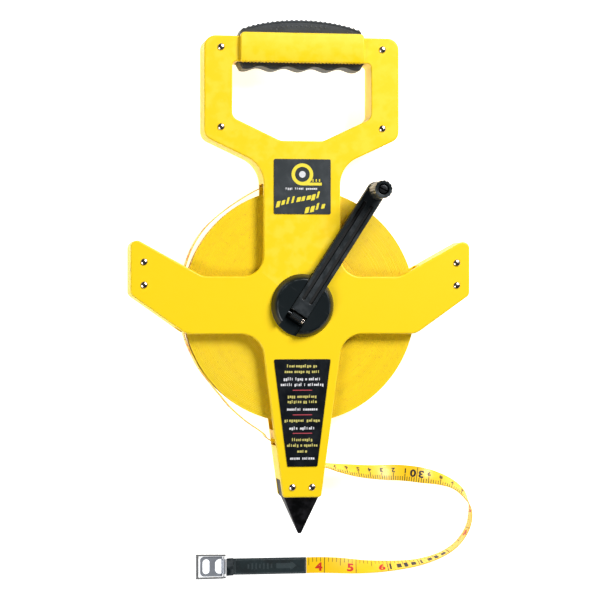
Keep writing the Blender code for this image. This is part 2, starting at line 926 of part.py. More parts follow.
def knob_screw(hinge, paint):
    """The slotted shoulder screw, riveted under the arm."""
    knob_high = CRANK_THICK / 2 + GAP + KNOB_LENGTH
    under = -CRANK_THICK / 2
    profile = [
        (0, under + 0.2),
        (3.6, under + 0.2),
        (3.6, under + 1.5),
        (2.0, under + 1.5),
        (2.0, knob_high - 3.7),
        (3.5, knob_high - 3.7),
        (3.5, knob_high - 1.6),
        (3.1, knob_high - 1.2),
        (0, knob_high - 1.2),
    ]
    screw = turned("knob_screw", profile, paint, segments=24, closed=False)
    screw.parent = hinge
    screw.location = (CRANK_REACH * MM, 0, 0)
    slot = bmesh.new()
    add_box(slot, (-6, -0.55, knob_high - 2.2), (6, 0.55, knob_high + 2))
    cutter = finish_mesh("screw_slot", slot)
    cutter.parent = hinge
    cutter.location = screw.location
    cutter.rotation_euler = (0, 0, radians(98))
    cut(screw, cutter)
    return screw


# ---------------------------------------------------------------- tape outside the reel


def loose_turn(paint):
    """The slack outer turn, which leaves the reel and runs through the leg."""
    line = []
    for degrees, stand_off in TURN_STAND_OFF:
        radius = PACK_RADIUS + stand_off + TAPE_THICK / 2
        angle = radians(degrees)
        line.append(Vector((radius * cos(angle), radius * sin(angle))))
    line += [Vector(point) for point in RUN_TO_LEG]
    curve = smooth_through(line, 4)
    height = TAPE_LOW + TAPE_WIDTH / 2
    points = [Vector((*point, height)) for point in curve]
    return ribbon("loose_turn", stations_on_edge(points), paint)


def stations_on_edge(points):
    up = Vector((0, 0, 1))
    stations = []
    for index, point in enumerate(points):
        along = points[min(index + 1, len(points) - 1)] - points[max(index - 1, 0)]
        stations.append((point, up, along.normalized()))
    return stations


def free_tape(paint):
    """The tape past the leg, which twists over and lies flat at the leader."""
    curve = smooth_through([Vector(point) for point in FREE_TAPE], 3)
    up = Vector((0, 0, 1))
    stations = []
    for index, point in enumerate(curve):
        ahead = curve[min(index + 1, len(curve) - 1)].to_3d()
        behind = curve[max(index - 1, 0)].to_3d()
        along = (ahead - behind).normalized()
        left = up.cross(along).normalized()
        upright = along.cross(left)
        bank = radians(point[3])
        across = upright * cos(bank) + left * sin(bank)
        stations.append((point.to_3d(), across, along))
    return ribbon("free_tape", stations, paint)


def leader_sleeve(paint):
    """The vinyl sleeve that stiffens the tape's end."""
    outline = rounded(
        [
            (LEADER_LEFT, LEADER_Y + 6.5, 0.6),
            (LEADER_RIGHT, LEADER_Y + 6.5, 1.0),
            (LEADER_RIGHT, LEADER_Y - 6.5, 1.0),
            (LEADER_LEFT, LEADER_Y - 6.5, 0.6),
        ]
    )
    return prism("leader_sleeve", outline, 0.1, 2.0, paint)


def leader_collar(paint):
    """The black collar between the sleeve and the hook."""
    right = LEADER_LEFT - GAP
    outline = [
        (COLLAR_LEFT, LEADER_Y + 6.6),
        (right, LEADER_Y + 6.9),
        (right, LEADER_Y - 6.9),
        (COLLAR_LEFT, LEADER_Y - 7.2),
    ]
    return prism("leader_collar", outline, 0.05, 2.4, paint)


def hook_plate(paint):
    """The steel plate with an oval slot and a D window, rolled round its pin."""
    middle = LEADER_Y + HOOK_ASIDE
    right = HOOK_PIN_X - 1.0
    outline = rounded(
        [
            (HOOK_LEFT + 3.6, middle + HOOK_PLATE_HALF, 3.0),
            (right, middle + HOOK_PLATE_HALF, 0.8),
            (right, middle - HOOK_PLATE_HALF, 0.8),
            (HOOK_LEFT + 3.6, middle - HOOK_PLATE_HALF, 3.0),
        ]
    )
    plate = prism("hook_plate", outline, 0.9, 1.9, paint)
    knuckle = bmesh.new()
    add_cross_rod(knuckle, 1.5, 12.0, HOOK_PIN_X, middle, HOOK_PIN_HEIGHT)
    join(plate, finish_mesh("plate_knuckle", knuckle))
    ways = bmesh.new()
    slot_x = HOOK_LEFT + 8.3
    slot = rounded(
        [
            (slot_x - 2.7, middle + 5.8, 2.6),
            (slot_x + 2.7, middle + 5.8, 2.6),
            (slot_x + 2.7, middle - 5.8, 2.6),
            (slot_x - 2.7, middle - 5.8, 2.6),
        ]
    )
    add_prism(ways, slot, -1, 5)
    window_x = HOOK_PIN_X - 1.9
    window = rounded(
        [
            (window_x - 4.9, middle + 5.8, 3.6),
            (window_x, middle + 5.8, 0.4),
            (window_x, middle - 5.8, 0.4),
            (window_x - 4.9, middle - 5.8, 3.6),
        ]
    )
    add_prism(ways, window, -1, 5)
    cut(plate, finish_mesh("plate_windows", ways))
    bore = bmesh.new()
    add_cross_rod(bore, 0.85, 30, HOOK_PIN_X, middle, HOOK_PIN_HEIGHT, segments=12)
    cut(plate, finish_mesh("plate_bore", bore))
    return plate


def hook_pin(paint):
    """The pin that joins the plate and the folding frame."""
    shape = bmesh.new()
    middle = LEADER_Y + HOOK_ASIDE
    add_cross_rod(shape, 0.55, 18.6, HOOK_PIN_X, middle, HOOK_PIN_HEIGHT, segments=12)
    return finish_mesh("hook_pin", shape, paint, radians(35))


def hook_bail(paint):
    """The bright frame round the plate, which folds over on the pin."""
    middle = LEADER_Y + HOOK_ASIDE
    wire = 1.5
    outer = [(HOOK_LEFT, 9.9), (HOOK_PIN_X - 4.5, 9.7), (HOOK_PIN_X + 1.6, 9.5)]
    inner = [(HOOK_PIN_X + 1.6, 8.1), (HOOK_PIN_X - 4.5, 8.2), (HOOK_LEFT + wire + 0.6, 8.4)]
    half = outer + inner
    outline = half + [(x, -y) for x, y in reversed(half)]
    placed = [(x, middle + y) for x, y in outline]
    bail = prism("hook_bail", placed, 0.1, 3.1, paint)
    bore = bmesh.new()
    add_cross_rod(bore, 0.6, 30, HOOK_PIN_X, middle, HOOK_PIN_HEIGHT, segments=12)
    cut(bail, finish_mesh("bail_bore", bore))
    return bail


# ---------------------------------------------------------------- assembly


def build_frame(yellow, black, rubber, bright):
    frame_shell("front_shell", FRONT_FACE, 1, yellow)
    rear = frame_shell("rear_shell", REAR_FACE, -1, yellow)
    screw_pilots(rear)
    ground_spike(black)
    handle_grip(rubber)
    labels()
    for name, x, y in rivet_places():
        rivet("rivet_" + name, x, y, bright)


def build_reel(tape, plastic, pale, metal):
    wound_tape(tape)
    spool_core(plastic)
    axle_shaft(metal)
    axle_clip(metal)
    bush("front_bush", FRONT_FACE - PLATE, FRONT_FACE - 0.2, 26.5, FRONT_FACE - PLATE - GAP, pale)
    bush("rear_bush", REAR_FACE + 0.2, 7.0, 7.0 + GAP, 9.0, pale)
    bearing_cover(plastic)
    for index, (x, y) in enumerate(cover_screw_places(), start=1):
        cover_screw(f"cover_screw_{index}", x, y, metal)


def build_crank(black, metal):
    hub_cap(black)
    cap_screw(metal)
    hinge = crank_empty()
    crank_arm(hinge, black)
    crank_pin(hinge, metal)
    crank_spring(hinge, metal)
    crank_knob(hinge, black)
    knob_screw(hinge, metal)


def build_tape(tape, black, metal):
    loose_turn(tape)
    free_tape(tape)
    leader_sleeve(black)
    leader_collar(black)
    hook_plate(metal)
    hook_pin(metal)
    hook_bail(metal)


def main():
    clear_scene()
    yellow, black, rubber = yellow_plastic(), black_plastic(), grip_rubber()
    metal, bright, tape, pale = steel(), rivet_steel(), tape_fibreglass(), acetal()
    build_frame(yellow, black, rubber, bright)
    build_reel(tape, black, pale, metal)
    build_crank(black, metal)
    build_tape(tape, black, metal)


main()
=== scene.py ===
"""The looks of a surveyor's open-reel tape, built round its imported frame.

Every class below is one sub-assembly of the tape reel. It holds its sizes in millimetres, models its
pieces on a workbench with Blender's edit-mode tools and hands them over in metres, each with its finish.
The reel lies on its back: +Z runs out of the front shell and +Y towards the handle.
"""

from __future__ import annotations

import logging
import random
from bisect import bisect_right
from contextlib import contextmanager
from dataclasses import dataclass, field
from enum import Enum
from math import ceil, cos, pi, radians, sin, tan
from typing import Callable, Iterator, Sequence

import bmesh
import bpy
from mathutils import Matrix, Vector


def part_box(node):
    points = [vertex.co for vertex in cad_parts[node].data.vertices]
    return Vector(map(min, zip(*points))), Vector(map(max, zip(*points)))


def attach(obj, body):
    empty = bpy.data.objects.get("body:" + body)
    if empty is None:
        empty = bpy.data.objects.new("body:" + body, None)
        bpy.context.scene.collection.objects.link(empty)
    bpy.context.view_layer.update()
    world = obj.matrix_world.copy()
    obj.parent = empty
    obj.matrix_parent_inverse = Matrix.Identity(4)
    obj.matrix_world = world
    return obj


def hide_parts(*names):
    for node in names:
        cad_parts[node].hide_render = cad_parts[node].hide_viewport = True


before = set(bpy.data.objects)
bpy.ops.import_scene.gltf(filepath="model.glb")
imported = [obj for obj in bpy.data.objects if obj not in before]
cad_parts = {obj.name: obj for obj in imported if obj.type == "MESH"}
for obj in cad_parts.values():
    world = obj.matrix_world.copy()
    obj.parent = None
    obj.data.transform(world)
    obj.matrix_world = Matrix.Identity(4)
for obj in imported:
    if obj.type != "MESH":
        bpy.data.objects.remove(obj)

LOG = logging.getLogger("tape_reel")
MM = 0.001
GAP = 0.3
WELD = 0.0008

Point = tuple[float, float]
Corner = tuple[float, float, float]
Colour = tuple[float, float, float, float]
Test = Callable[[object], bool]
Piece = bpy.types.Object
Material = bpy.types.Material
Socket = bpy.types.NodeSocket
Edge = bmesh.types.BMEdge
Shape = bmesh.types.BMesh


class Body(str, Enum):
    """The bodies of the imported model."""

    ROOT = "root"
    REEL = "reel"
    CRANK = "crank"
    KNOB = "knob"
    HOOK = "hook"


class Slot(str, Enum):
    """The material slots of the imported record."""

    YELLOW = "yellow_plastic"
    RUBBER = "grip_rubber"
    BLACK = "black_plastic"
    RIVET = "rivet_steel"
    STEEL = "steel"
    DARK_STEEL = "dark_steel"
    TAPE = "tape_yellow"
    BUSH = "bush_acetal"
    LEADER = "leader_vinyl"
    UPPER_LABEL = "upper_label"
    LOWER_LABEL = "lower_label"


class Pick(str, Enum):
    """What an edit-mode selection is made of."""

    VERT = "VERT"
    EDGE = "EDGE"
    FACE = "FACE"


class Carve(str, Enum):
    """How a tool shape changes the piece it is used on."""

    AWAY = "DIFFERENCE"
    ON = "UNION"


class Side(Enum):
    """One half of the frame; the value is the way its face looks along Z."""

    FRONT = 1
    REAR = -1

    @property
    def node(self) -> str:
        """Return the CAD node of the half."""
        return f"{self.name.lower()}_shell"


class TapeFace(Enum):
    """One printed face of the tape; the value is its side along the tape's normal."""

    METRIC = 1
    IMPERIAL = -1


def srgb(red: int, green: int, blue: int) -> Colour:
    """Turn a screen colour into the linear colour that a shader takes.

    Args:
        red: Red from 0 to 255.
        green: Green from 0 to 255.
        blue: Blue from 0 to 255.

    Returns:
        The linear colour with an alpha of one.
    """

    def linear(level: int) -> float:
        """Return one channel in linear light."""
        share = level / 255
        return share / 12.92 if share <= 0.04045 else ((share + 0.055) / 1.055) ** 2.4

    return (linear(red), linear(green), linear(blue), 1.0)


def heights(node: str) -> Point:
    """Return the heights of a CAD node's underside and top, in millimetres."""
    low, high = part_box(node)
    return low[2] / MM, high[2] / MM


def is_sharp(edge: Edge, degrees: float = 30) -> bool:
    """Say whether the faces beside an edge turn by more than an angle."""
    return edge.calc_face_angle(0.0) > radians(degrees)


def lies_at(edge: Edge, height: float) -> bool:
    """Say whether an edge lies at a height."""
    return all(abs(vert.co.z - height) < 0.01 for vert in edge.verts)


def discard(*pieces: Piece) -> None:
    """Remove pieces that have served as models or tools."""
    for piece in pieces:
        bpy.data.objects.remove(piece, do_unlink=True)


def select_all(action: str = "SELECT") -> None:
    """Select everything in edit mode, or what else an action says."""
    bpy.ops.mesh.select_all(action=action)


def deselect() -> None:
    """Deselect every object."""
    bpy.ops.object.select_all(action="DESELECT")


class Value:
    """A number in a material, on which Python's operators work."""

    def __init__(self, graph: Graph, socket: Socket) -> None:
        """Wrap an output socket of a graph."""
        self.graph = graph
        self.socket = socket

    def _math(self, operation: str, first: object, second: object = 0.0) -> Value:
        """Add one Math node."""
        node = self.graph.add("ShaderNodeMath", {"operation": operation}, {0: first, 1: second})
        return Value(self.graph, node.outputs[0])

    def __add__(self, other: object) -> Value:
        """Return self + other."""
        return self._math("ADD", self, other)

    def __radd__(self, other: object) -> Value:
        """Return other + self."""
        return self._math("ADD", other, self)

    def __sub__(self, other: object) -> Value:
        """Return self - other."""
        return self._math("SUBTRACT", self, other)

    def __rsub__(self, other: object) -> Value:
        """Return other - self."""
        return self._math("SUBTRACT", other, self)

    def __mul__(self, other: object) -> Value:
        """Return self * other."""
        return self._math("MULTIPLY", self, other)

    def __rmul__(self, other: object) -> Value:
        """Return other * self."""
        return self._math("MULTIPLY", other, self)

    def __truediv__(self, other: object) -> Value:
        """Return self / other."""
        return self._math("DIVIDE", self, other)

    def __pow__(self, other: object) -> Value:
        """Return self ** other."""
        return self._math("POWER", self, other)

    def step(self, low: float, high: float) -> Value:
        """Rise smoothly from 0 at low to 1 at high."""
        settings = {"interpolation_type": "SMOOTHSTEP"}
        node = self.graph.add("ShaderNodeMapRange", settings, {0: self, 1: low, 2: high})
        return Value(self.graph, node.outputs[0])


class Graph:
    """A material whose nodes are made in code, round one Principled shader."""

    def __init__(self, name: str) -> None:
        """Start an empty material.

        Args:
            name: The material's name.
        """
        self.material = bpy.data.materials.new(name)
        self.material.use_nodes = True
        self.tree = self.material.node_tree
        self.tree.nodes.clear()

    def add(self, kind: str, settings: dict | None = None, inputs: dict | None = None) -> bpy.types.Node:
        """Add one node of any type.

        Args:
            kind: The node's type.
            settings: Its properties.
            inputs: What each socket, by name or number, takes: a value, a socket or a number.

        Returns:
            The new node.
        """
        node = self.tree.nodes.new(kind)
        for key, setting in (settings or {}).items():
            setattr(node, key, setting)
        for key, given in (inputs or {}).items():
            if isinstance(given, Value):
                self.tree.links.new(given.socket, node.inputs[key])
            elif isinstance(given, Socket):
                self.tree.links.new(given, node.inputs[key])
            else:
                node.inputs[key].default_value = given
        return node

    def place(self) -> Socket:
        """Return the point on the piece, in metres."""
        return self.add("ShaderNodeTexCoord").outputs["Object"]

    def along_strip(self, length: float, width: float) -> Socket:
        """Return the place along and across a strip, from its own UV map."""
        mapped = self.add("ShaderNodeTexCoord").outputs["UV"]
        return self.stretched((length, width, 1.0), mapped)

    def stretched(self, scale: tuple[float, float, float], source: Socket | None = None,
                  turn: float = 0.0) -> Socket:
        """Scale coordinates along each axis.

        Args:
            scale: The factor along X, Y and Z.
            source: What is scaled; the point on the piece when it is left out.
            turn: An angle round Z that the coordinates are turned by first.

        Returns:
            The scaled vector.
        """
        source = source or self.place()
        if turn:
            turned = self.add("ShaderNodeMapping", None, {"Vector": source, "Rotation": (0.0, 0.0, turn)})
            source = turned.outputs[0]
        node = self.add("ShaderNodeMapping", None, {"Vector": source, "Scale": scale})
        return node.outputs[0]

    def noise(self, scale: float, detail: float = 2.0, source: Socket | None = None,
              roughness: float = 0.5) -> Value:
        """Return fractal noise between 0 and 1."""
        inputs = {"Vector": source or self.place(), "Scale": scale, "Detail": detail, "Roughness": roughness}
        return Value(self, self.add("ShaderNodeTexNoise", None, inputs).outputs[0])

    def rings(self, spacing: float) -> Value:
        """Return a random level for each ring round the Z axis."""
        inputs = {"W": self.radius() / spacing, "Scale": 1.0, "Detail": 3.0, "Roughness": 0.7}
        return Value(self, self.add("ShaderNodeTexNoise", {"noise_dimensions": "1D"}, inputs).outputs[0])

    def radius(self) -> Value:
        """Return the distance from the Z axis, in metres."""
        split = self.add("ShaderNodeSeparateXYZ", None, {0: self.place()})
        across, up = Value(self, split.outputs[0]), Value(self, split.outputs[1])
        return (across * across + up * up) ** 0.5

    def specks(self, scale: float, size: float, source: Socket | None = None) -> Value:
        """Return 1 inside scattered specks."""
        inputs = {"Vector": source or self.place(), "Scale": scale}
        distance = Value(self, self.add("ShaderNodeTexVoronoi", None, inputs).outputs[0])
        return 1 - distance.step(size * 0.5, size)

    def height(self) -> Value:
        """Return the height of the point on the piece, in metres."""
        split = self.add("ShaderNodeSeparateXYZ", None, {0: self.place()})
        return Value(self, split.outputs[2])

    def worn_edge(self) -> Value:
        """Return 1 on the faces that round a piece's edges off."""
        node = self.add("ShaderNodeAttribute", {"attribute_name": "worn_edge"})
        return Value(self, node.outputs["Fac"])

    def mix(self, share: Value | float, first: object, second: object) -> Socket:
        """Blend two colours."""
        settings = {"data_type": "RGBA", "clamp_factor": True}
        return self.add("ShaderNodeMix", settings, {0: share, 6: first, 7: second}).outputs[2]

    def bump(self, height: Value, depth: float, strength: float = 1.0,
             under: Socket | None = None) -> Socket:
        """Turn heights into a bumped normal.

        Args:
            height: The height from 0 to 1.
            depth: What a height of one stands for, in metres.
            strength: The bump's strength.
            under: A bumped normal that this one adds to.

        Returns:
            The normal.
        """
        inputs = {"Height": height, "Distance": depth, "Strength": strength}
        if under is not None:
            inputs["Normal"] = under
        return self.add("ShaderNodeBump", None, inputs).outputs[0]

    def finish(self, **inputs: object) -> Material:
        """Close the graph with its shader.

        Args:
            **inputs: The Principled shader's sockets, with _ for a space.

        Returns:
            The finished material.
        """
        named = {name.replace("_", " "): given for name, given in inputs.items()}
        shader = self.add("ShaderNodeBsdfPrincipled", None, named)
        self.add("ShaderNodeOutputMaterial", None, {"Surface": shader.outputs[0]})
        return self.material


@dataclass(frozen=True)
class MouldedPlastic:
    """Injection-moulded plastic: a fine spark texture, slow tone changes, rubbed edges and light scuffs.

    Grooves whose floor lies under a set height, in metres, get painted shade: their floor is darkened nearly
    to black.
    """

    name: str
    colour: Colour
    deep: Colour
    rubbed: Colour
    roughness: float = 0.36
    grain: float = 1600.0
    grain_depth: float = 0.00003
    scuffs: float = 0.5
    dark_below: float = 0.0
    wear: float = 0.6
    gloss: float = 0.5

    def make(self) -> Material:
        """Build the material."""
        graph = Graph(self.name)
        slow = graph.noise(14.0, 3.0)
        cloudy = graph.noise(90.0, 4.0, roughness=0.6)
        grain = graph.noise(self.grain, 2.0)
        scratch = graph.noise(60.0, 3.0, graph.stretched((1.0, 14.0, 1.0), turn=0.6)).step(0.66, 0.74)
        fleck = graph.specks(420.0, 0.16)
        worn = graph.worn_edge() * cloudy.step(0.42, 0.62)
        tone = graph.mix(slow.step(0.2, 0.8) * 0.4 + fleck * 0.2, self.colour, self.deep)
        tone = graph.mix(worn * self.wear + scratch * self.scuffs * 0.12, tone, self.rubbed)
        rough = self.roughness + (cloudy - 0.5) * 0.05 + scratch * self.scuffs * 0.12 + worn * 0.1
        # Painted shade: groove floors below the set height take the deep colour, then near black, and grow
        # rougher.
        if self.dark_below:
            painted_groove_shade = 1 - graph.height().step(self.dark_below, self.dark_below + 0.0008)
            tone = graph.mix(painted_groove_shade, tone, self.deep)
            tone = graph.mix(painted_groove_shade * 0.85, tone, (0.0, 0.0, 0.0, 1.0))
            rough = rough + painted_groove_shade * 0.4
        bumps = graph.bump(grain, self.grain_depth, 0.8)
        bumps = graph.bump(scratch, 0.00001, 0.5, bumps)
        return graph.finish(
            Base_Color=tone, Roughness=rough, Normal=bumps, IOR=1.49, Specular_IOR_Level=self.gloss
        )


@dataclass(frozen=True)
class GripRubber:
    """Soft dark rubber, matt, with a pebbled skin and dusty high spots."""

    name: str = "grip_rubber_skin"
    colour: Colour = srgb(52, 57, 62)
    deep: Colour = srgb(32, 35, 39)
    dust: Colour = srgb(122, 125, 130)

    def make(self) -> Material:
        """Build the material."""
        graph = Graph(self.name)
        pebble = graph.specks(900.0, 0.75)
        cloud = graph.noise(60.0, 4.0)
        dust = graph.noise(500.0, 3.0).step(0.55, 0.72) * cloud.step(0.4, 0.65)
        tone = graph.mix(cloud.step(0.3, 0.75) * 0.7, self.colour, self.deep)
        tone = graph.mix(dust * 0.35 + graph.worn_edge() * 0.15, tone, self.dust)
        rough = 0.62 + (cloud - 0.5) * 0.2 + dust * 0.15
        return graph.finish(
            Base_Color=tone, Roughness=rough, Normal=graph.bump(pebble, 0.00008, 0.6), Sheen_Weight=0.15
        )


@dataclass(frozen=True)
class Metal:
    """Plated or brushed steel, with fine drawn lines, smears and a little tarnish."""

    name: str
    colour: Colour
    tarnish: Colour
    roughness: float = 0.2
    lines: tuple[float, float, float] = (1.0, 22.0, 22.0)
    line_depth: float = 0.00001

    def make(self) -> Material:
        """Build the material."""
        graph = Graph(self.name)
        drawn = graph.noise(420.0, 3.0, graph.stretched(self.lines))
        smear = graph.noise(120.0, 3.0)
        spots = graph.noise(900.0, 2.0).step(0.68, 0.78)
        tone = graph.mix(smear.step(0.45, 0.8) * 0.45 + spots * 0.3, self.colour, self.tarnish)
        rough = self.roughness + (smear - 0.5) * 0.16 + spots * 0.15 + (drawn - 0.5) * 0.08
        return graph.finish(
            Base_Color=tone, Metallic=1.0 - spots * 0.2, Roughness=rough,
            Normal=graph.bump(drawn, self.line_depth, 0.7),
        )


@dataclass(frozen=True)
class TapeFilm:
    """Yellow coated fibreglass tape: yarns along it, faintly soiled, satin."""

    name: str
    length: float
    width: float = 12.7 * MM
    colour: Colour = srgb(255, 209, 10)
    deep: Colour = srgb(250, 194, 12)
    soil: Colour = srgb(200, 144, 40)

    def make(self) -> Material:
        """Build the material."""
        graph = Graph(self.name)
        strip = graph.along_strip(self.length, self.width)
        yarns = graph.noise(160.0, 2.0, graph.stretched((0.4, 11.0, 1.0), strip))
        cloud = graph.noise(70.0, 4.0, strip)
        soil = graph.noise(230.0, 4.0, strip).step(0.58, 0.8)
        tone = graph.mix(cloud.step(0.35, 0.7) * 0.5 + yarns * 0.2, self.colour, self.deep)
        tone = graph.mix(soil * 0.18, tone, self.soil)
        rough = 0.4 + (cloud - 0.5) * 0.2 + soil * 0.15
        return graph.finish(
            Base_Color=tone, Roughness=rough, Normal=graph.bump(yarns, 0.00006, 0.7),
            Coat_Weight=soil * 0.1 + 0.1,
        )


@dataclass(frozen=True)
class WindingEdges:
    """The side of the wound tape: hundreds of cut edges, each a little different, mottled with dust."""

    name: str = "wound_tape_edges"
    colour: Colour = srgb(255, 223, 12)
    deep: Colour = srgb(255, 204, 10)
    dust: Colour = srgb(206, 138, 26)
    turn: float = 0.6 * MM

    def make(self) -> Material:
        """Build the material."""
        graph = Graph(self.name)
        edges = graph.rings(self.turn)
        bands = graph.rings(9 * self.turn)
        mottle = graph.noise(260.0, 4.0, roughness=0.65)
        specks = graph.specks(500.0, 0.22) * mottle.step(0.45, 0.6)
        tone = graph.mix(edges.step(0.3, 0.7) * 0.3 + bands.step(0.4, 0.65) * 0.12, self.colour, self.deep)
        tone = graph.mix(mottle.step(0.5, 0.75) * 0.16 + specks * 0.5, tone, self.dust)
        rough = 0.5 + (mottle - 0.5) * 0.2
        bumps = graph.bump(edges, 0.00022, 0.8)
        bumps = graph.bump(mottle, 0.0001, 0.5, bumps)
        return graph.finish(Base_Color=tone, Roughness=rough, Normal=bumps)


@dataclass(frozen=True)
class LabelFilm:
    """A printed plastic label, satin, with handling marks."""

    name: str
    colour: Colour
    scuffed: Colour
    roughness: float = 0.34

    def make(self) -> Material:
        """Build the material."""
        graph = Graph(self.name)
        cloud = graph.noise(110.0, 4.0)
        fine = graph.noise(1400.0, 2.0)
        scratch = graph.noise(90.0, 3.0, graph.stretched((12.0, 1.0, 1.0), turn=-0.5)).step(0.64, 0.72)
        tone = graph.mix(cloud.step(0.4, 0.8) * 0.4 + scratch * 0.15 + fine * 0.1, self.colour, self.scuffed)
        rough = self.roughness + (cloud - 0.5) * 0.2 + scratch * 0.2
        return graph.finish(Base_Color=tone, Roughness=rough, Normal=graph.bump(fine, 0.00001, 0.6))


@dataclass(frozen=True)
class Ink:
    """Printing ink, thin in places, slightly raised and worn."""

    name: str
    colour: Colour
    thin: Colour

    def make(self) -> Material:
        """Build the material."""
        graph = Graph(self.name)
        patchy = graph.noise(520.0, 4.0, roughness=0.6)
        worn = graph.noise(1500.0, 2.0).step(0.6, 0.72)
        tone = graph.mix(patchy.step(0.45, 0.75) * 0.35 + worn * 0.3, self.colour, self.thin)
        rough = 0.5 + (patchy - 0.5) * 0.2
        return graph.finish(Base_Color=tone, Roughness=rough, Normal=graph.bump(patchy, 0.00001, 0.5))


@dataclass(frozen=True)
class LeaderVinyl:
    """The slate vinyl sleeve at the tape's end, with a pressed weave and rubbed ridges."""

    name: str = "leader_vinyl_skin"
    colour: Colour = srgb(34, 46, 49)
    deep: Colour = srgb(22, 31, 34)
    rubbed: Colour = srgb(96, 108, 112)

    def make(self) -> Material:
        """Build the material."""
        graph = Graph(self.name)
        lengthwise = graph.noise(500.0, 2.0, graph.stretched((1.0, 8.0, 1.0)))
        crosswise = graph.noise(500.0, 2.0, graph.stretched((8.0, 1.0, 1.0)))
        cloud = graph.noise(140.0, 4.0)
        rubbed = graph.worn_edge() * 0.22 + graph.noise(800.0, 3.0).step(0.62, 0.75) * 0.2
        tone = graph.mix(cloud.step(0.35, 0.7), self.colour, self.deep)
        tone = graph.mix(rubbed, tone, self.rubbed)
        rough = 0.42 + (cloud - 0.5) * 0.2
        return graph.finish(
            Base_Color=tone, Roughness=rough, Normal=graph.bump(lengthwise + crosswise, 0.00005, 0.6)
        )


@dataclass(frozen=True)
class Acetal:
    """Off-white bearing plastic, waxy and slightly greased."""

    name: str = "bearing_acetal"
    colour: Colour = srgb(224, 222, 212)
    grease: Colour = srgb(150, 138, 112)

    def make(self) -> Material:
        """Build the material."""
        graph = Graph(self.name)
        smear = graph.noise(180.0, 4.0)
        fine = graph.noise(1800.0, 2.0)
        tone = graph.mix(smear.step(0.55, 0.8) * 0.6, self.colour, self.grease)
        rough = 0.42 - smear.step(0.5, 0.8) * 0.2
        return graph.finish(Base_Color=tone, Roughness=rough, Normal=graph.bump(fine, 0.00002, 0.5))


class Finishes:
    """The materials that the tape reel's pieces share, each made once."""

    def __init__(self) -> None:
        """Make every finish."""
        self.yellow = MouldedPlastic(
            "yellow_frame_plastic", srgb(255, 218, 5), srgb(255, 214, 3), srgb(255, 228, 60), 0.42,
            scuffs=0.25, wear=0.4,
        ).make()
        self.black = MouldedPlastic(
            "black_moulded_plastic", srgb(20, 28, 31), srgb(8, 13, 14), srgb(78, 84, 88), 0.3, 1100.0,
            scuffs=1.0,
        ).make()
        # The crank arm's groove floors get painted shade below 39.9 mm.
        self.arm_black = MouldedPlastic(
            "crank_arm_plastic", srgb(34, 39, 42), srgb(28, 33, 35), srgb(100, 106, 112), 0.3,
            1100.0, dark_below=0.0399, wear=0.12,
        ).make()
        self.spike = MouldedPlastic(
            "spike_nylon", srgb(6, 6, 7), srgb(3, 3, 4), srgb(58, 56, 62), 0.42, 900.0, 0.00005, 0.5,
            wear=0.3, gloss=0.15,
        ).make()
        self.rubber = GripRubber().make()
        self.chrome = Metal("rivet_chrome", srgb(236, 222, 208), srgb(168, 146, 128), 0.24).make()
        self.steel = Metal("plated_steel", srgb(206, 207, 208), srgb(150, 149, 146), 0.42).make()
        self.dark_steel = Metal("dark_steel_plate", srgb(184, 189, 198), srgb(136, 140, 150), 0.52).make()
        self.blackened = Metal("blackened_steel", srgb(62, 64, 66), srgb(30, 30, 32), 0.34).make()
        self.edges = WindingEdges().make()
        self.upper_film = LabelFilm("upper_label_film", srgb(54, 59, 62), srgb(82, 87, 91)).make()
        self.lower_film = LabelFilm("lower_label_film", srgb(4, 9, 16), srgb(30, 36, 44)).make()
        self.yellow_ink = Ink("yellow_label_ink", srgb(244, 226, 60), srgb(206, 186, 70)).make()
        self.pale_yellow_ink = Ink("pale_yellow_ink", srgb(206, 196, 110), srgb(150, 144, 84)).make()
        self.white_ink = Ink("white_label_ink", srgb(226, 226, 230), srgb(166, 166, 176)).make()
        self.red_ink = Ink("red_label_ink", srgb(190, 70, 84), srgb(140, 52, 66)).make()
        self.tape_black = Ink("tape_black_ink", srgb(24, 18, 12), srgb(80, 56, 18)).make()
        self.tape_red = Ink("tape_red_ink", srgb(208, 34, 20), srgb(222, 84, 34)).make()
        self.vinyl = LeaderVinyl().make()
        self.acetal = Acetal().make()


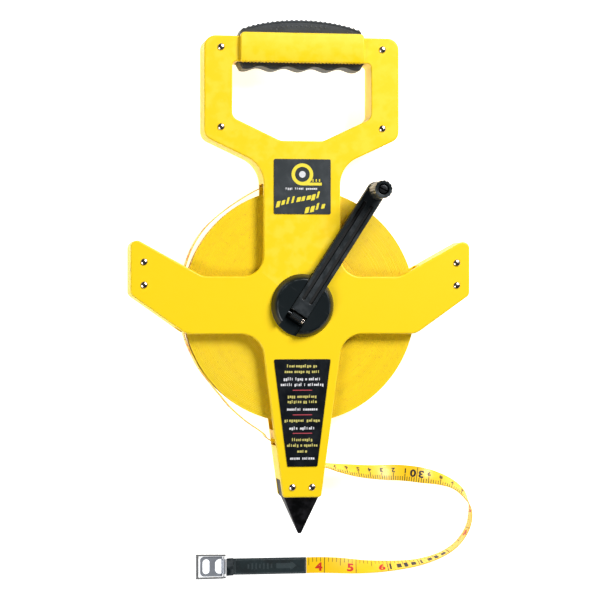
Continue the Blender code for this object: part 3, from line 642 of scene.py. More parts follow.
class Outline:
    """Closed outlines in the plane of the frame, in millimetres."""

    @staticmethod
    def mirrored(corners: Sequence[Corner]) -> list[Corner]:
        """Complete an outline from its right half."""
        return list(corners) + [(-x, y, r) for x, y, r in reversed(corners)]

    @staticmethod
    def rounded(corners: Sequence[Corner], step: float = radians(6)) -> list[Point]:
        """Give each corner its arc.

        Args:
            corners: The corners as (x, y, radius).
            step: The largest turn between two points of an arc.

        Returns:
            The outline's points.
        """
        outline: list[Point] = []
        for index, (x, y, radius) in enumerate(corners):
            here = Vector((x, y))
            to_last = (Vector(corners[index - 1][:2]) - here).normalized()
            to_next = (Vector(corners[(index + 1) % len(corners)][:2]) - here).normalized()
            half_angle = to_last.angle(to_next) / 2
            if radius <= 0:
                outline.append((x, y))
                continue
            centre = here + (to_last + to_next).normalized() * (radius / sin(half_angle))
            start = here + to_last * (radius / tan(half_angle)) - centre
            turn = pi - 2 * half_angle
            if start.y * to_last.x < start.x * to_last.y:
                turn = -turn
            count = max(1, ceil(abs(turn) / step))
            for stop in range(count + 1):
                angle = turn * stop / count
                arm_x = start.x * cos(angle) - start.y * sin(angle)
                arm_y = start.x * sin(angle) + start.y * cos(angle)
                outline.append((centre.x + arm_x, centre.y + arm_y))
        return outline

    @staticmethod
    def inset(outline: Sequence[Point], distance: float) -> list[Point]:
        """Move a clockwise outline inwards.

        Args:
            outline: The outline's points.
            distance: How far it moves in, or out when negative.

        Returns:
            The moved points.
        """
        points = [Vector(point) for point in outline]
        moved = []
        for index, here in enumerate(points):
            before = (here - points[index - 1]).normalized()
            after = (points[(index + 1) % len(points)] - here).normalized()
            inward = Vector((before.y + after.y, -before.x - after.x)).normalized()
            square = max(0.3, inward.dot(Vector((before.y, -before.x))))
            place = here + inward * (distance / square)
            moved.append((place.x, place.y))
        return moved

    @staticmethod
    def circle(x: float, y: float, radius: float, points: int = 48) -> list[Point]:
        """Return a circle's points."""
        turns = (2 * pi * stop / points for stop in range(points))
        return [(x + radius * cos(turn), y + radius * sin(turn)) for turn in turns]

    @staticmethod
    def window(left: float, right: float, middle: float, half: float, radii: Point,
               step: float = radians(6)) -> list[Point]:
        """Return the points of a rounded rectangle.

        Args:
            left: Its left side.
            right: Its right side.
            middle: The height of its middle.
            half: Half its height.
            radii: The radii at its left and at its right.
            step: The largest turn between two points of an arc.

        Returns:
            The outline's points.
        """
        near, far = radii
        upper = [(left, middle + half, near), (right, middle + half, far)]
        lower = [(right, middle - half, far), (left, middle - half, near)]
        return Outline.rounded(upper + lower, step)

    @staticmethod
    def block(low_x: float, low_y: float, high_x: float, high_y: float) -> list[Point]:
        """Return a rectangle's points."""
        return [(low_x, low_y), (high_x, low_y), (high_x, high_y), (low_x, high_y)]


class Bench:
    """A workbench in millimetres: Blender's edit-mode tools, each used on one piece at a time."""

    def take(self, piece: Piece) -> Piece:
        """Make a piece the only selected one."""
        deselect()
        piece.select_set(True)
        bpy.context.view_layer.objects.active = piece
        return piece

    def named(self, name: str) -> Piece:
        """Name the primitive that was added last."""
        piece = bpy.context.object
        piece.name = name
        piece.data.name = name
        return piece

    @contextmanager
    def editing(self, piece: Piece, kind: Pick = Pick.VERT) -> Iterator[Shape]:
        """Open a piece in edit mode with everything selected.

        Args:
            piece: The piece.
            kind: What selections are made of.

        Yields:
            The piece's mesh, as long as no operator has changed it.
        """
        self.take(piece)
        bpy.ops.object.mode_set(mode="EDIT")
        bpy.ops.mesh.select_mode(type=kind.value)
        select_all()
        yield bmesh.from_edit_mesh(piece.data)
        bpy.ops.object.mode_set(mode="OBJECT")

    def choose(self, piece: Piece, kind: Pick, test: Test) -> None:
        """Select, in edit mode, what passes a test and nothing else.

        Args:
            piece: The piece in edit mode.
            kind: Vertices, edges or faces.
            test: Says whether one of them is wanted.
        """
        bpy.ops.mesh.select_mode(type=kind.value)
        select_all("DESELECT")
        shape = bmesh.from_edit_mesh(piece.data)
        shape.normal_update()
        for item in {Pick.VERT: shape.verts, Pick.EDGE: shape.edges, Pick.FACE: shape.faces}[kind]:
            if test(item):
                item.select_set(True)
        bmesh.update_edit_mesh(piece.data)

    def reshape(self, piece: Piece, move: Callable[[Vector], Sequence[float]]) -> Piece:
        """Move every vertex of a piece to where a function puts it."""
        with self.editing(piece) as shape:
            for vert in shape.verts:
                vert.co = move(vert.co)
            shape.normal_update()
            bmesh.update_edit_mesh(piece.data)
        return piece

    def plate(self, name: str, outline: Sequence[Point], low: float, high: float) -> Piece:
        """Extrude an outline between two heights.

        Args:
            name: The piece's name.
            outline: Its outline.
            low: The height of its underside.
            high: The height of its top.

        Returns:
            The solid plate.
        """
        deselect()
        bpy.ops.mesh.primitive_circle_add(vertices=len(outline), radius=1.0, fill_type="NGON")
        piece = self.named(name)
        with self.editing(piece) as shape:
            for vert, (x, y) in zip(shape.verts, outline):
                vert.co = (x, y, low)
            shape.normal_update()
            bmesh.update_edit_mesh(piece.data)
            bpy.ops.mesh.extrude_region_move(TRANSFORM_OT_translate={"value": (0, 0, high - low)})
            select_all()
            bpy.ops.mesh.normals_make_consistent(inside=False)
        return piece

    def lathe(self, name: str, profile: Sequence[Point], steps: int = 96, ring: bool = False) -> Piece:
        """Spin a profile of (radius, height) points round the Z axis.

        Args:
            name: The piece's name.
            profile: The profile, from the axis to the axis unless it is a ring's.
            steps: How many steps the spin takes.
            ring: Whether the profile is closed, as a ring's cross-section is.

        Returns:
            The turned solid.
        """
        deselect()
        bpy.ops.mesh.primitive_circle_add(vertices=len(profile), radius=1.0, fill_type="NOTHING")
        piece = self.named(name)
        with self.editing(piece, Pick.EDGE) as shape:
            for vert, (radius, height) in zip(shape.verts, profile):
                vert.co = (radius, 0, height)
            bmesh.update_edit_mesh(piece.data)
            if not ring:
                self.choose(piece, Pick.EDGE, lambda edge: all(vert.co.x == 0 for vert in edge.verts))
                bpy.ops.mesh.delete(type="EDGE")
            select_all()
            bpy.ops.mesh.spin(steps=steps, angle=2 * pi, center=(0, 0, 0), axis=(0, 0, 1))
            select_all()
            bpy.ops.mesh.remove_doubles(threshold=0.001)
            bpy.ops.mesh.normals_make_consistent(inside=False)
        return piece

    def rod(self, name: str, radius: float, length: float, matrix: Matrix, sides: int = 40,
            edge: float = 0.0) -> Piece:
        """Add a cylinder that lies where a matrix puts its middle.

        Args:
            name: The piece's name.
            radius: Its radius.
            length: Its length along its own Z.
            matrix: Where it goes.
            sides: How many sides it has.
            edge: The width of its rounded end edges.

        Returns:
            The cylinder.
        """
        deselect()
        bpy.ops.mesh.primitive_cylinder_add(vertices=sides, radius=radius, depth=length)
        piece = self.named(name)
        if edge:
            self.bevel(piece, lambda item: item.verts[0].co.z * item.verts[1].co.z > 0, edge, 3)
        return self.place(piece, matrix)

    def bevel(self, piece: Piece, test: Test, width: float, segments: int = 3) -> None:
        """Round the edges that pass a test."""
        with self.editing(piece, Pick.EDGE):
            self.choose(piece, Pick.EDGE, test)
            bpy.ops.mesh.bevel(offset=width, segments=segments, affect="EDGES")

    def round_rim(self, piece: Piece, height: float, width: float, segments: int = 3) -> None:
        """Round every sharp edge that lies at one height."""

        def at_rim(edge: Edge) -> bool:
            """Say whether an edge is sharp and at the height."""
            level = lies_at(edge, height)
            return level and is_sharp(edge)

        self.bevel(piece, at_rim, width, segments)

    def round_inside(self, piece: Piece, height: float, low: Point, high: Point, width: float,
                     segments: int = 3) -> None:
        """Round every sharp edge at one height that lies inside a rectangle.

        Args:
            piece: The piece.
            height: The edges' height.
            low: The rectangle's low corner.
            high: Its high corner.
            width: The round's width.
            segments: How many faces it has across.
        """

        def is_inside(edge: Edge) -> bool:
            """Say whether an edge is one of them."""
            inside = all(low[0] < vert.co.x < high[0] and low[1] < vert.co.y < high[1] for vert in edge.verts)
            return inside and lies_at(edge, height) and is_sharp(edge)

        self.bevel(piece, is_inside, width, segments)

    def carve(self, base: Piece, tool: Piece, how: Carve = Carve.AWAY) -> Piece:
        """Cut a tool's shape out of a piece, or join it on, and use the tool up.

        Args:
            base: The piece.
            tool: The other shape.
            how: Whether it is cut away or joined on.

        Returns:
            The piece.
        """
        self.take(base)
        change = base.modifiers.new("carve", "BOOLEAN")
        change.operation = how.value
        change.solver = "EXACT"
        change.object = tool
        bpy.ops.object.modifier_apply(modifier=change.name)
        discard(tool)
        return base

    def place(self, piece: Piece, matrix: Matrix) -> Piece:
        """Put a matrix into a piece's mesh."""
        self.take(piece)
        piece.matrix_world = matrix
        bpy.ops.object.transform_apply(location=True, rotation=True, scale=True)
        return piece

    def copy(self, piece: Piece, name: str, matrix: Matrix = Matrix()) -> Piece:
        """Copy a piece with a mesh of its own.

        Args:
            piece: What is copied.
            name: The copy's name.
            matrix: Where the copy goes.

        Returns:
            The copy.
        """
        made = piece.copy()
        made.data = piece.data.copy()
        made.name = name
        bpy.context.scene.collection.objects.link(made)
        return self.place(made, matrix)

    def join(self, pieces: Sequence[Piece], name: str) -> Piece:
        """Join separate pieces into one."""
        self.take(pieces[0])
        for piece in pieces:
            piece.select_set(True)
        if len(pieces) > 1:
            bpy.ops.object.join()
        return self.named(name)

    def hand_over(self, piece: Piece, body: Body, finish: Material, slot: Slot,
                  replaces: Sequence[str] = (), smooth: float = 32.0, weighted: bool = True,
                  solid: bool = True) -> Piece:
        """Finish a piece: clean it, turn it into metres, dress it and let it ride.

        Args:
            piece: The piece, in millimetres.
            body: The body that it moves with.
            finish: Its material.
            slot: The record's slot that its finish belongs to; not used.
            replaces: The CAD nodes that it stands for.
            smooth: The angle, in degrees, over which its faces shade as one surface.
            weighted: Whether its large flats keep their own normals.
            solid: Whether it is a closed body whose normals can be worked out.

        Returns:
            The finished piece.
        """
        with self.editing(piece):
            bpy.ops.mesh.remove_doubles(threshold=WELD)
            if solid:
                bpy.ops.mesh.normals_make_consistent(inside=False)
        self.place(piece, Matrix.Diagonal((MM, MM, MM, 1.0)))
        bpy.ops.object.shade_smooth_by_angle(angle=radians(smooth))
        if weighted:
            even = piece.modifiers.new("even_flats", "WEIGHTED_NORMAL")
            even.keep_sharp = True
            bpy.ops.object.modifier_apply(modifier=even.name)
        self._mark_worn_edges(piece)
        piece.data.materials.clear()
        piece.data.materials.append(finish)
        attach(piece, body.value)
        if replaces:
            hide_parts(*replaces)
        LOG.info("%s: %d faces on %s", piece.name, len(piece.data.polygons), body.value)
        return piece

    @staticmethod
    def _mark_worn_edges(piece: Piece) -> None:
        """Give the faces that round an edge off the attribute worn_edge."""
        shape = bmesh.new()
        shape.from_mesh(piece.data)
        turns = [sum(0.2 < edge.calc_face_angle(0.0) < 0.9 for edge in face.edges) for face in shape.faces]
        shape.free()
        marks = piece.data.attributes.new("worn_edge", "FLOAT", "FACE")
        marks.data.foreach_set("value", [1.0 if count >= 2 else 0.0 for count in turns])


@dataclass
class SubAssembly:
    """What every sub-assembly is made with."""

    bench: Bench
    finishes: Finishes


@dataclass
class FrameShells(SubAssembly):
    """The two moulded halves of the frame, with the saddles that clamp the grip."""

    plate: float = 3.0
    wall: float = 2.5
    lip: float = 5.0
    rim: float = 1.3
    rim_opening: float = 1.0
    saddle_rise: float = 4.0
    saddle_half: float = 49.2
    saddle_top: float = 213.9
    saddle_fall: float = 1.3
    scallop: float = 2.8
    scallop_depth: float = 0.55
    reel_way: float = 100.5
    hub_hole: float = 13.0
    boss: float = 4.4
    notch_top: float = -136.8
    foot: float = -150.6
    grip_way: float = 51.0
    bosses: tuple[Point, ...] = ((64.2, 202.1), (64.2, 139.7), (124.4, 33.9), (124.4, 16.0))
    outline: tuple[Corner, ...] = (
        (77.5, 211.2, 9.1), (77.5, 131.9, 8.6), (30.6, 109.9, 23.0), (30.6, 22.9, 16.3),
        (78.5, 22.9, 14.0), (135.0, 54.2, 5.2), (135.0, 8.4, 5.2), (91.4, -22.3, 14.0),
        (32.6, -22.3, 18.0), (15.3, -150.6, 2.6),
    )
    opening: tuple[Corner, ...] = ((55.3, 191.1, 3.5), (55.3, 147.4, 7.0), (17.0, 129.3, 12.0))
    slot_start: Point = (-21.7, -107.2)
    slot_end: Point = (18.4, -126.1)

    def build(self) -> None:
        """Build both halves."""
        for side in Side:
            self.shell(side)

    def face_of(self, side: Side) -> float:
        """Return the height of a half's outer face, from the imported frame."""
        low, high = heights(side.node)
        return high - self.saddle_rise if side is Side.FRONT else low + self.saddle_rise

    def parting_of(self, side: Side) -> float:
        """Return the height at which a half meets the other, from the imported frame."""
        low, high = heights(side.node)
        return low if side is Side.FRONT else high

    def shell(self, side: Side) -> None:
        """Build one half.

        Args:
            side: Which half.
        """
        bench, sign = self.bench, side.value
        face, edge = self.face_of(side), self.parting_of(side)
        inner = face - sign * self.plate
        reach = edge - sign * self.lip
        body = bench.plate(f"{side.node}_moulding", Outline.rounded(Outline.mirrored(self.outline)),
                           *sorted((face, edge)))
        bench.round_rim(body, face, self.rim, 4)
        opening = Outline.rounded(Outline.mirrored(self.opening))
        bench.carve(body, bench.plate("opening_tool", opening, -20, 60))
        (right, top), bottom = self.opening[0][:2], self.opening[-1][1]
        bench.round_inside(body, face, (-right - 1, bottom - 1), (right + 1, top + 1), self.rim_opening)
        bench.carve(body, self.saddle(face, sign), Carve.ON)
        bench.carve(body, self.hollow(inner, reach))
        bench.carve(body, self.posts(inner, edge, sign), Carve.ON)
        for tool in self.clearances(side, inner, reach):
            bench.carve(body, tool)
        bench.hand_over(body, Body.ROOT, self.finishes.yellow, Slot.YELLOW, [side.node])

    def saddle(self, face: float, sign: int) -> Piece:
        """Build the raised bar over the grip, crowned across and rounded at its ends.

        Args:
            face: The height of the half's face.
            sign: The way that the face looks.

        Returns:
            The bar.
        """
        bottom, top = self.opening[0][1], self.saddle_top
        crest = face + sign * self.saddle_rise
        base = face - sign * self.plate
        half = self.saddle_half
        outline = Outline.rounded(Outline.mirrored([(half, bottom, 0.0), (half, top, 3.2)]))
        steps = round(2 * (half - 1.4) / self.scallop) * 6
        for stop in range(1, steps):
            x = (half - 1.4) * (2 * stop / steps - 1)
            outline.append((x, bottom - self.scallop_depth * abs(sin(pi * 3 * stop / 18))))
        bar = self.bench.plate("saddle_bar", outline, *sorted((base, crest)))
        middle, half = (bottom + top) / 2, (top - bottom) / 2
        with self.bench.editing(bar):
            for share in (-0.8, -0.5, -0.2, 0.2, 0.5, 0.8):
                select_all()
                bpy.ops.mesh.bisect(plane_co=(0, middle + half * share, 0), plane_no=(0, 1, 0))
            shape = bmesh.from_edit_mesh(bar.data)
            for vert in shape.verts:
                if abs(vert.co.z - crest) < 0.01:
                    vert.co.z -= sign * self.saddle_fall * ((vert.co.y - middle) / half) ** 2
            shape.normal_update()
            bmesh.update_edit_mesh(bar.data)

        def crest_edge(edge: Edge) -> bool:
            """Say whether an edge runs round the bar's top."""
            raised = all((vert.co.z - face) * sign > 1 for vert in edge.verts)
            return raised and is_sharp(edge, 45) and abs(
                edge.verts[0].co.z - edge.verts[1].co.z) < 1.2

        self.bench.bevel(bar, crest_edge, 1.0, 3)
        return bar

    def hollow(self, inner: float, reach: float) -> Piece:
        """Return the space inside the walls, with an island round the hand opening.

        Args:
            inner: The height of the plate's inner face.
            reach: How far past the parting line the space runs.

        Returns:
            The tool.
        """
        coarse = radians(22.5)
        outer = Outline.inset(Outline.rounded(Outline.mirrored(self.outline), coarse), self.wall)
        island = Outline.inset(Outline.rounded(Outline.mirrored(self.opening), coarse), -self.wall)
        space = self.bench.plate("hollow_tool", outer, *sorted((inner, reach)))
        return self.bench.carve(space, self.bench.plate("island_tool", island, -20, 60))

    def posts(self, inner: float, edge: float, sign: int) -> Piece:
        """Return the posts that the rivets run through.

        Args:
            inner: The height of the plate's inner face.
            edge: The height of the parting line.
            sign: The way that the face looks.

        Returns:
            All posts as one shape.
        """
        low, high = sorted((inner + sign * 0.5, edge))
        places = [(x * way, y) for x, y in self.bosses for way in (1, -1)]
        posts = [self.bench.plate("post", Outline.circle(x, y, self.boss, 24), low, high) for x, y in places]
        return self.bench.join(posts, "posts")

    def clearances(self, side: Side, inner: float, reach: float) -> Iterator[Piece]:
        """Make the tools for the reel's way, the hub, the grip, the spike and the tape's slot.

        Args:
            side: Which half.
            inner: The height of the plate's inner face.
            reach: How far past the parting line the tools run.

        Yields:
            One tool after the other.
        """
        bench, sign = self.bench, side.value
        low, high = sorted((inner, reach))
        opening = Outline.rounded(Outline.mirrored(self.opening), radians(12))
        yield bench.plate("opening_tool", opening, low, high)
        reel_low, reel_high = sorted((inner - sign, reach))
        yield bench.plate("reel_way", Outline.circle(0, 0, self.reel_way, 160), reel_low, reel_high)
        yield bench.plate("hub_hole", Outline.circle(0, 0, self.hub_hole, 64), -20, 60)
        yield bench.plate("grip_way", Outline.block(-self.grip_way, 180, self.grip_way, 230), low, high)
        yield bench.plate("spike_notch", Outline.block(-30, self.foot - 5, 30, self.notch_top), low, high)
        start, end = Vector((*self.slot_start, 0)), Vector((*self.slot_end, 0))
        slot_heights = (9.0, 30.0) if sign > 0 else (5.0, 23.5)
        slot = bench.plate("tape_slot", Outline.block(-40, -2.2, 40, 2.2), *slot_heights)
        heading = (end - start).to_track_quat("X", "Z").to_matrix().to_4x4()
        yield bench.place(slot, Matrix.Translation((start + end) / 2) @ heading)


@dataclass
class HandleGrip(SubAssembly):
    """The rubber grip: a ribbed crown above the saddle and five finger ridges below it."""

    half: float = 50.7
    shoulder: float = 192.5
    ridge: float = 185.4
    groove: float = 188.0
    pitch: float = 21.9
    crown_base: float = 212.9
    crown: float = 224.3
    crown_half: float = 47.5
    crown_span: float = 104.0
    rib_pitch: float = 3.8
    rib_radius: float = 1.6
    rib_depth: float = 0.7
    bead_half: float = 20.0
    rim: float = 1.0
    panel_raise: float = 0.5

    def outline(self) -> list[Point]:
        """Return the grip's outline, anticlockwise from the left shoulder."""
        points: list[Point] = [(-self.half, self.shoulder)]
        steps = 108
        span = 4.3 * self.pitch
        for stop in range(steps + 1):
            x = span * (stop / steps - 0.5)
            wave = cos(pi * x / self.pitch) ** 2
            points.append((x, self.groove + (self.ridge - self.groove) * wave))
        points += [(self.half, self.shoulder), (self.half, 209.0)]
        crown_steps = 72
        for stop in range(crown_steps + 1):
            x = self.crown_half * (1 - 2 * stop / crown_steps)
            points.append((x, self.crown_at(x)))
        points.append((-self.half, 209.0))
        return points

    def crown_at(self, x: float) -> float:
        """Return how high the crown stands at a place along the grip."""
        return self.crown_base + (self.crown - self.crown_base) * cos(pi * x / self.crown_span) ** 0.58

    def build(self) -> None:
        """Build the grip."""
        low, high = heights("handle_grip")
        grip = self.bench.plate("grip_rubber_body", self.outline(), low, high)
        for height, way in ((low, -1), (high, 1)):
            self.raise_panel(grip, height, way)
        self.bench.hand_over(grip, Body.ROOT, self.finishes.rubber, Slot.RUBBER, ["handle_grip"], 40)
        self.ribs(low, high)

    def ribs(self, low: float, high: float) -> None:
        """Lay ribs across the crown, and a row of small beads along its front.

        Args:
            low: The height of the grip's back.
            high: The height of its front.
        """
        bench, middle, length = self.bench, (low + high) / 2, high - low - 1.1
        model = bench.rod("rib_model", self.rib_radius, length, Matrix.Translation((0, 0, middle)), 12, 0.3)
        bead = bench.rod("bead_model", 0.75, 0.7, Matrix.Translation((0, 0, high)), 12, 0.2)
        count = int(self.crown_half / self.rib_pitch)
        pieces = []
        for index in range(-count, count + 1):
            x = index * self.rib_pitch
            y = self.crown_at(x) - self.rib_radius + self.rib_depth
            pieces.append(bench.copy(model, "rib", Matrix.Translation((x, y, 0))))
            if abs(x) < self.bead_half:
                pieces.append(bench.copy(bead, "bead", Matrix.Translation((x, y - 3.4, 0))))
        discard(model, bead)
        made = bench.join(pieces, "grip_ribs")
        bench.hand_over(made, Body.ROOT, self.finishes.rubber, Slot.RUBBER)

    def raise_panel(self, grip: Piece, height: float, way: int) -> None:
        """Chamfer a face's edge and sink a line round its panel.

        Args:
            grip: The grip.
            height: The height of the face.
            way: The way that it looks.
        """
        with self.bench.editing(grip, Pick.FACE):
            self.bench.choose(grip, Pick.FACE, lambda face: face.normal.z * way > 0.9)
            bpy.ops.mesh.inset(thickness=self.rim, depth=0.0)
            bpy.ops.mesh.inset(thickness=0.35, depth=-self.panel_raise)
            bpy.ops.mesh.inset(thickness=0.35, depth=self.panel_raise)
            shape = bmesh.from_edit_mesh(grip.data)
            for vert in shape.verts:
                on_wall = any(abs(face.normal.z) < 0.1 for face in vert.link_faces)
                if on_wall and abs(vert.co.z - height) < 0.01:
                    vert.co.z -= way * self.rim * 0.7
            bmesh.update_edit_mesh(grip.data)


@dataclass
class GroundSpike(SubAssembly):
    """The nylon point between the shells' feet."""

    foot: float = -150.9
    notch: float = -137.1
    half: float = 14.2
    deep: float = 9.6
    tip_half: float = 1.2
    tip_deep: float = 1.2
    shank_top: float = 16.83
    shank_foot: float = 15.0
    round: float = 0.7

    def build(self) -> None:
        """Build the shank and the wedge point."""
        low, high = heights("ground_spike")
        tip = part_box("ground_spike")[0][1] / MM
        middle = (low + high) / 2
        shank = [
            (-self.shank_top, self.notch), (-self.shank_foot, self.foot + 2.8),
            (-self.half - 0.2, self.foot), (self.half + 0.2, self.foot),
            (self.shank_foot, self.foot + 2.8), (self.shank_top, self.notch),
        ]
        spike = self.bench.plate("spike_body", shank, low, high)
        self.bench.bevel(spike, is_sharp, 0.5, 3)
        self.bench.carve(spike, self.point(middle, tip), Carve.ON)
        self.bench.hand_over(spike, Body.ROOT, self.finishes.spike, Slot.BLACK, ["ground_spike"])

    def point(self, middle: float, tip: float) -> Piece:
        """Taper a block to the wedge.

        Args:
            middle: The height of its middle.
            tip: How far down it reaches.

        Returns:
            The wedge.
        """
        wedge = self.bench.plate("wedge", Outline.block(-self.half, tip, self.half, self.foot + 1.2),
                                 middle - self.deep, middle + self.deep)
        with self.bench.editing(wedge) as shape:
            for vert in shape.verts:
                if vert.co.y < tip + 0.1:
                    vert.co.x *= self.tip_half / self.half
                    vert.co.z = middle + (vert.co.z - middle) * self.tip_deep / self.deep
            shape.normal_update()
            bmesh.update_edit_mesh(wedge.data)
        self.bench.bevel(wedge, lambda edge: all(vert.co.y < tip + 0.1 for vert in edge.verts), 0.9, 4)
        self.bench.bevel(
            wedge,
            lambda edge: is_sharp(edge, 35)
            and abs(edge.verts[0].co.y - edge.verts[1].co.y) > 10,
            self.round, 3,
        )
        return wedge


@dataclass
class Rivets(SubAssembly):
    """Ten plated rivets with a domed head on each shell."""

    head: float = 2.8
    rise: float = 1.5
    seat: float = 0.02
    shank: float = 1.5

    def profile(self, bottom: float, top: float) -> list[Point]:
        """Return a rivet's profile between the shells' outer faces."""
        turns = [pi / 2 * stop / 12 for stop in range(13)]
        dome = [(self.head * cos(turn), self.rise * sin(turn)) for turn in turns]
        upper = [(max(0.0, round(radius, 6)), top + self.seat + rise) for radius, rise in dome]
        lower = [(radius, bottom - (height - top)) for radius, height in upper]
        return lower[::-1] + [(self.shank, bottom), (self.shank, top)] + upper

    def build(self, shells: FrameShells) -> None:
        """Build one rivet and copy it to every place.

        Args:
            shells: The frame's halves, which say where the outer faces are.
        """
        bottom, top = shells.face_of(Side.REAR), shells.face_of(Side.FRONT)
        model = self.bench.lathe("rivet_model", self.profile(bottom, top), 48)
        for node in sorted(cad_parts):
            if node.startswith("rivet_"):
                low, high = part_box(node)
                place = Matrix.Translation(((low[0] + high[0]) / 2 / MM, (low[1] + high[1]) / 2 / MM, 0))
                made = self.bench.copy(model, f"{node}_plated", place)
                self.bench.hand_over(made, Body.ROOT, self.finishes.chrome, Slot.RIVET, [node], 50, False)
        discard(model)


@dataclass
class MarkSet:
    """Small abstract printed marks, modelled once and copied along rows."""

    bench: Bench
    draw: random.Random
    thick: float = 0.06
    shapes: tuple[tuple[float, float, float], ...] = (
        (0.95, 0.0, 0.8), (0.75, 0.0, 0.8), (0.5, 0.0, 1.15), (1.0, 0.0, 0.75), (0.85, -0.25, 0.8),
        (0.45, 0.0, 0.95),
    )
    models: list[Piece] = field(default_factory=list)

    def __post_init__(self) -> None:
        """Model the marks as plain blocks of different widths and heights, standing on the baseline."""
        for index, (width, foot, head) in enumerate(self.shapes):
            corners = [(0.0, foot, 0.0), (width, foot, 0.12), (width, head, 0.12), (0.0, head, 0.12)]
            block = Outline.rounded(corners, radians(30))
            self.models.append(self.bench.plate(f"block_{index}", block, 0, self.thick))

    def row(self, half: float, height: float, words: Sequence[int]) -> list[Piece]:
        """Lay marks side by side in groups, centred on the origin.

        Args:
            half: Half the row's length.
            height: The marks' height.
            words: How many marks each group has.

        Returns:
            The row's marks.
        """
        marks = []
        spaces = len(words) - 1
        pitch = 2 * half / (sum(words) + spaces * 0.8)
        x = -half
        for count in words:
            for _ in range(count):
                model = self.draw.choice(self.models)
                size = Matrix.Diagonal((pitch * 0.86, height, 1.0, 1.0))
                marks.append(self.bench.copy(model, "mark", Matrix.Translation((x, -height / 2, 0)) @ size))
                x += pitch
            x += pitch * 0.8
        return marks


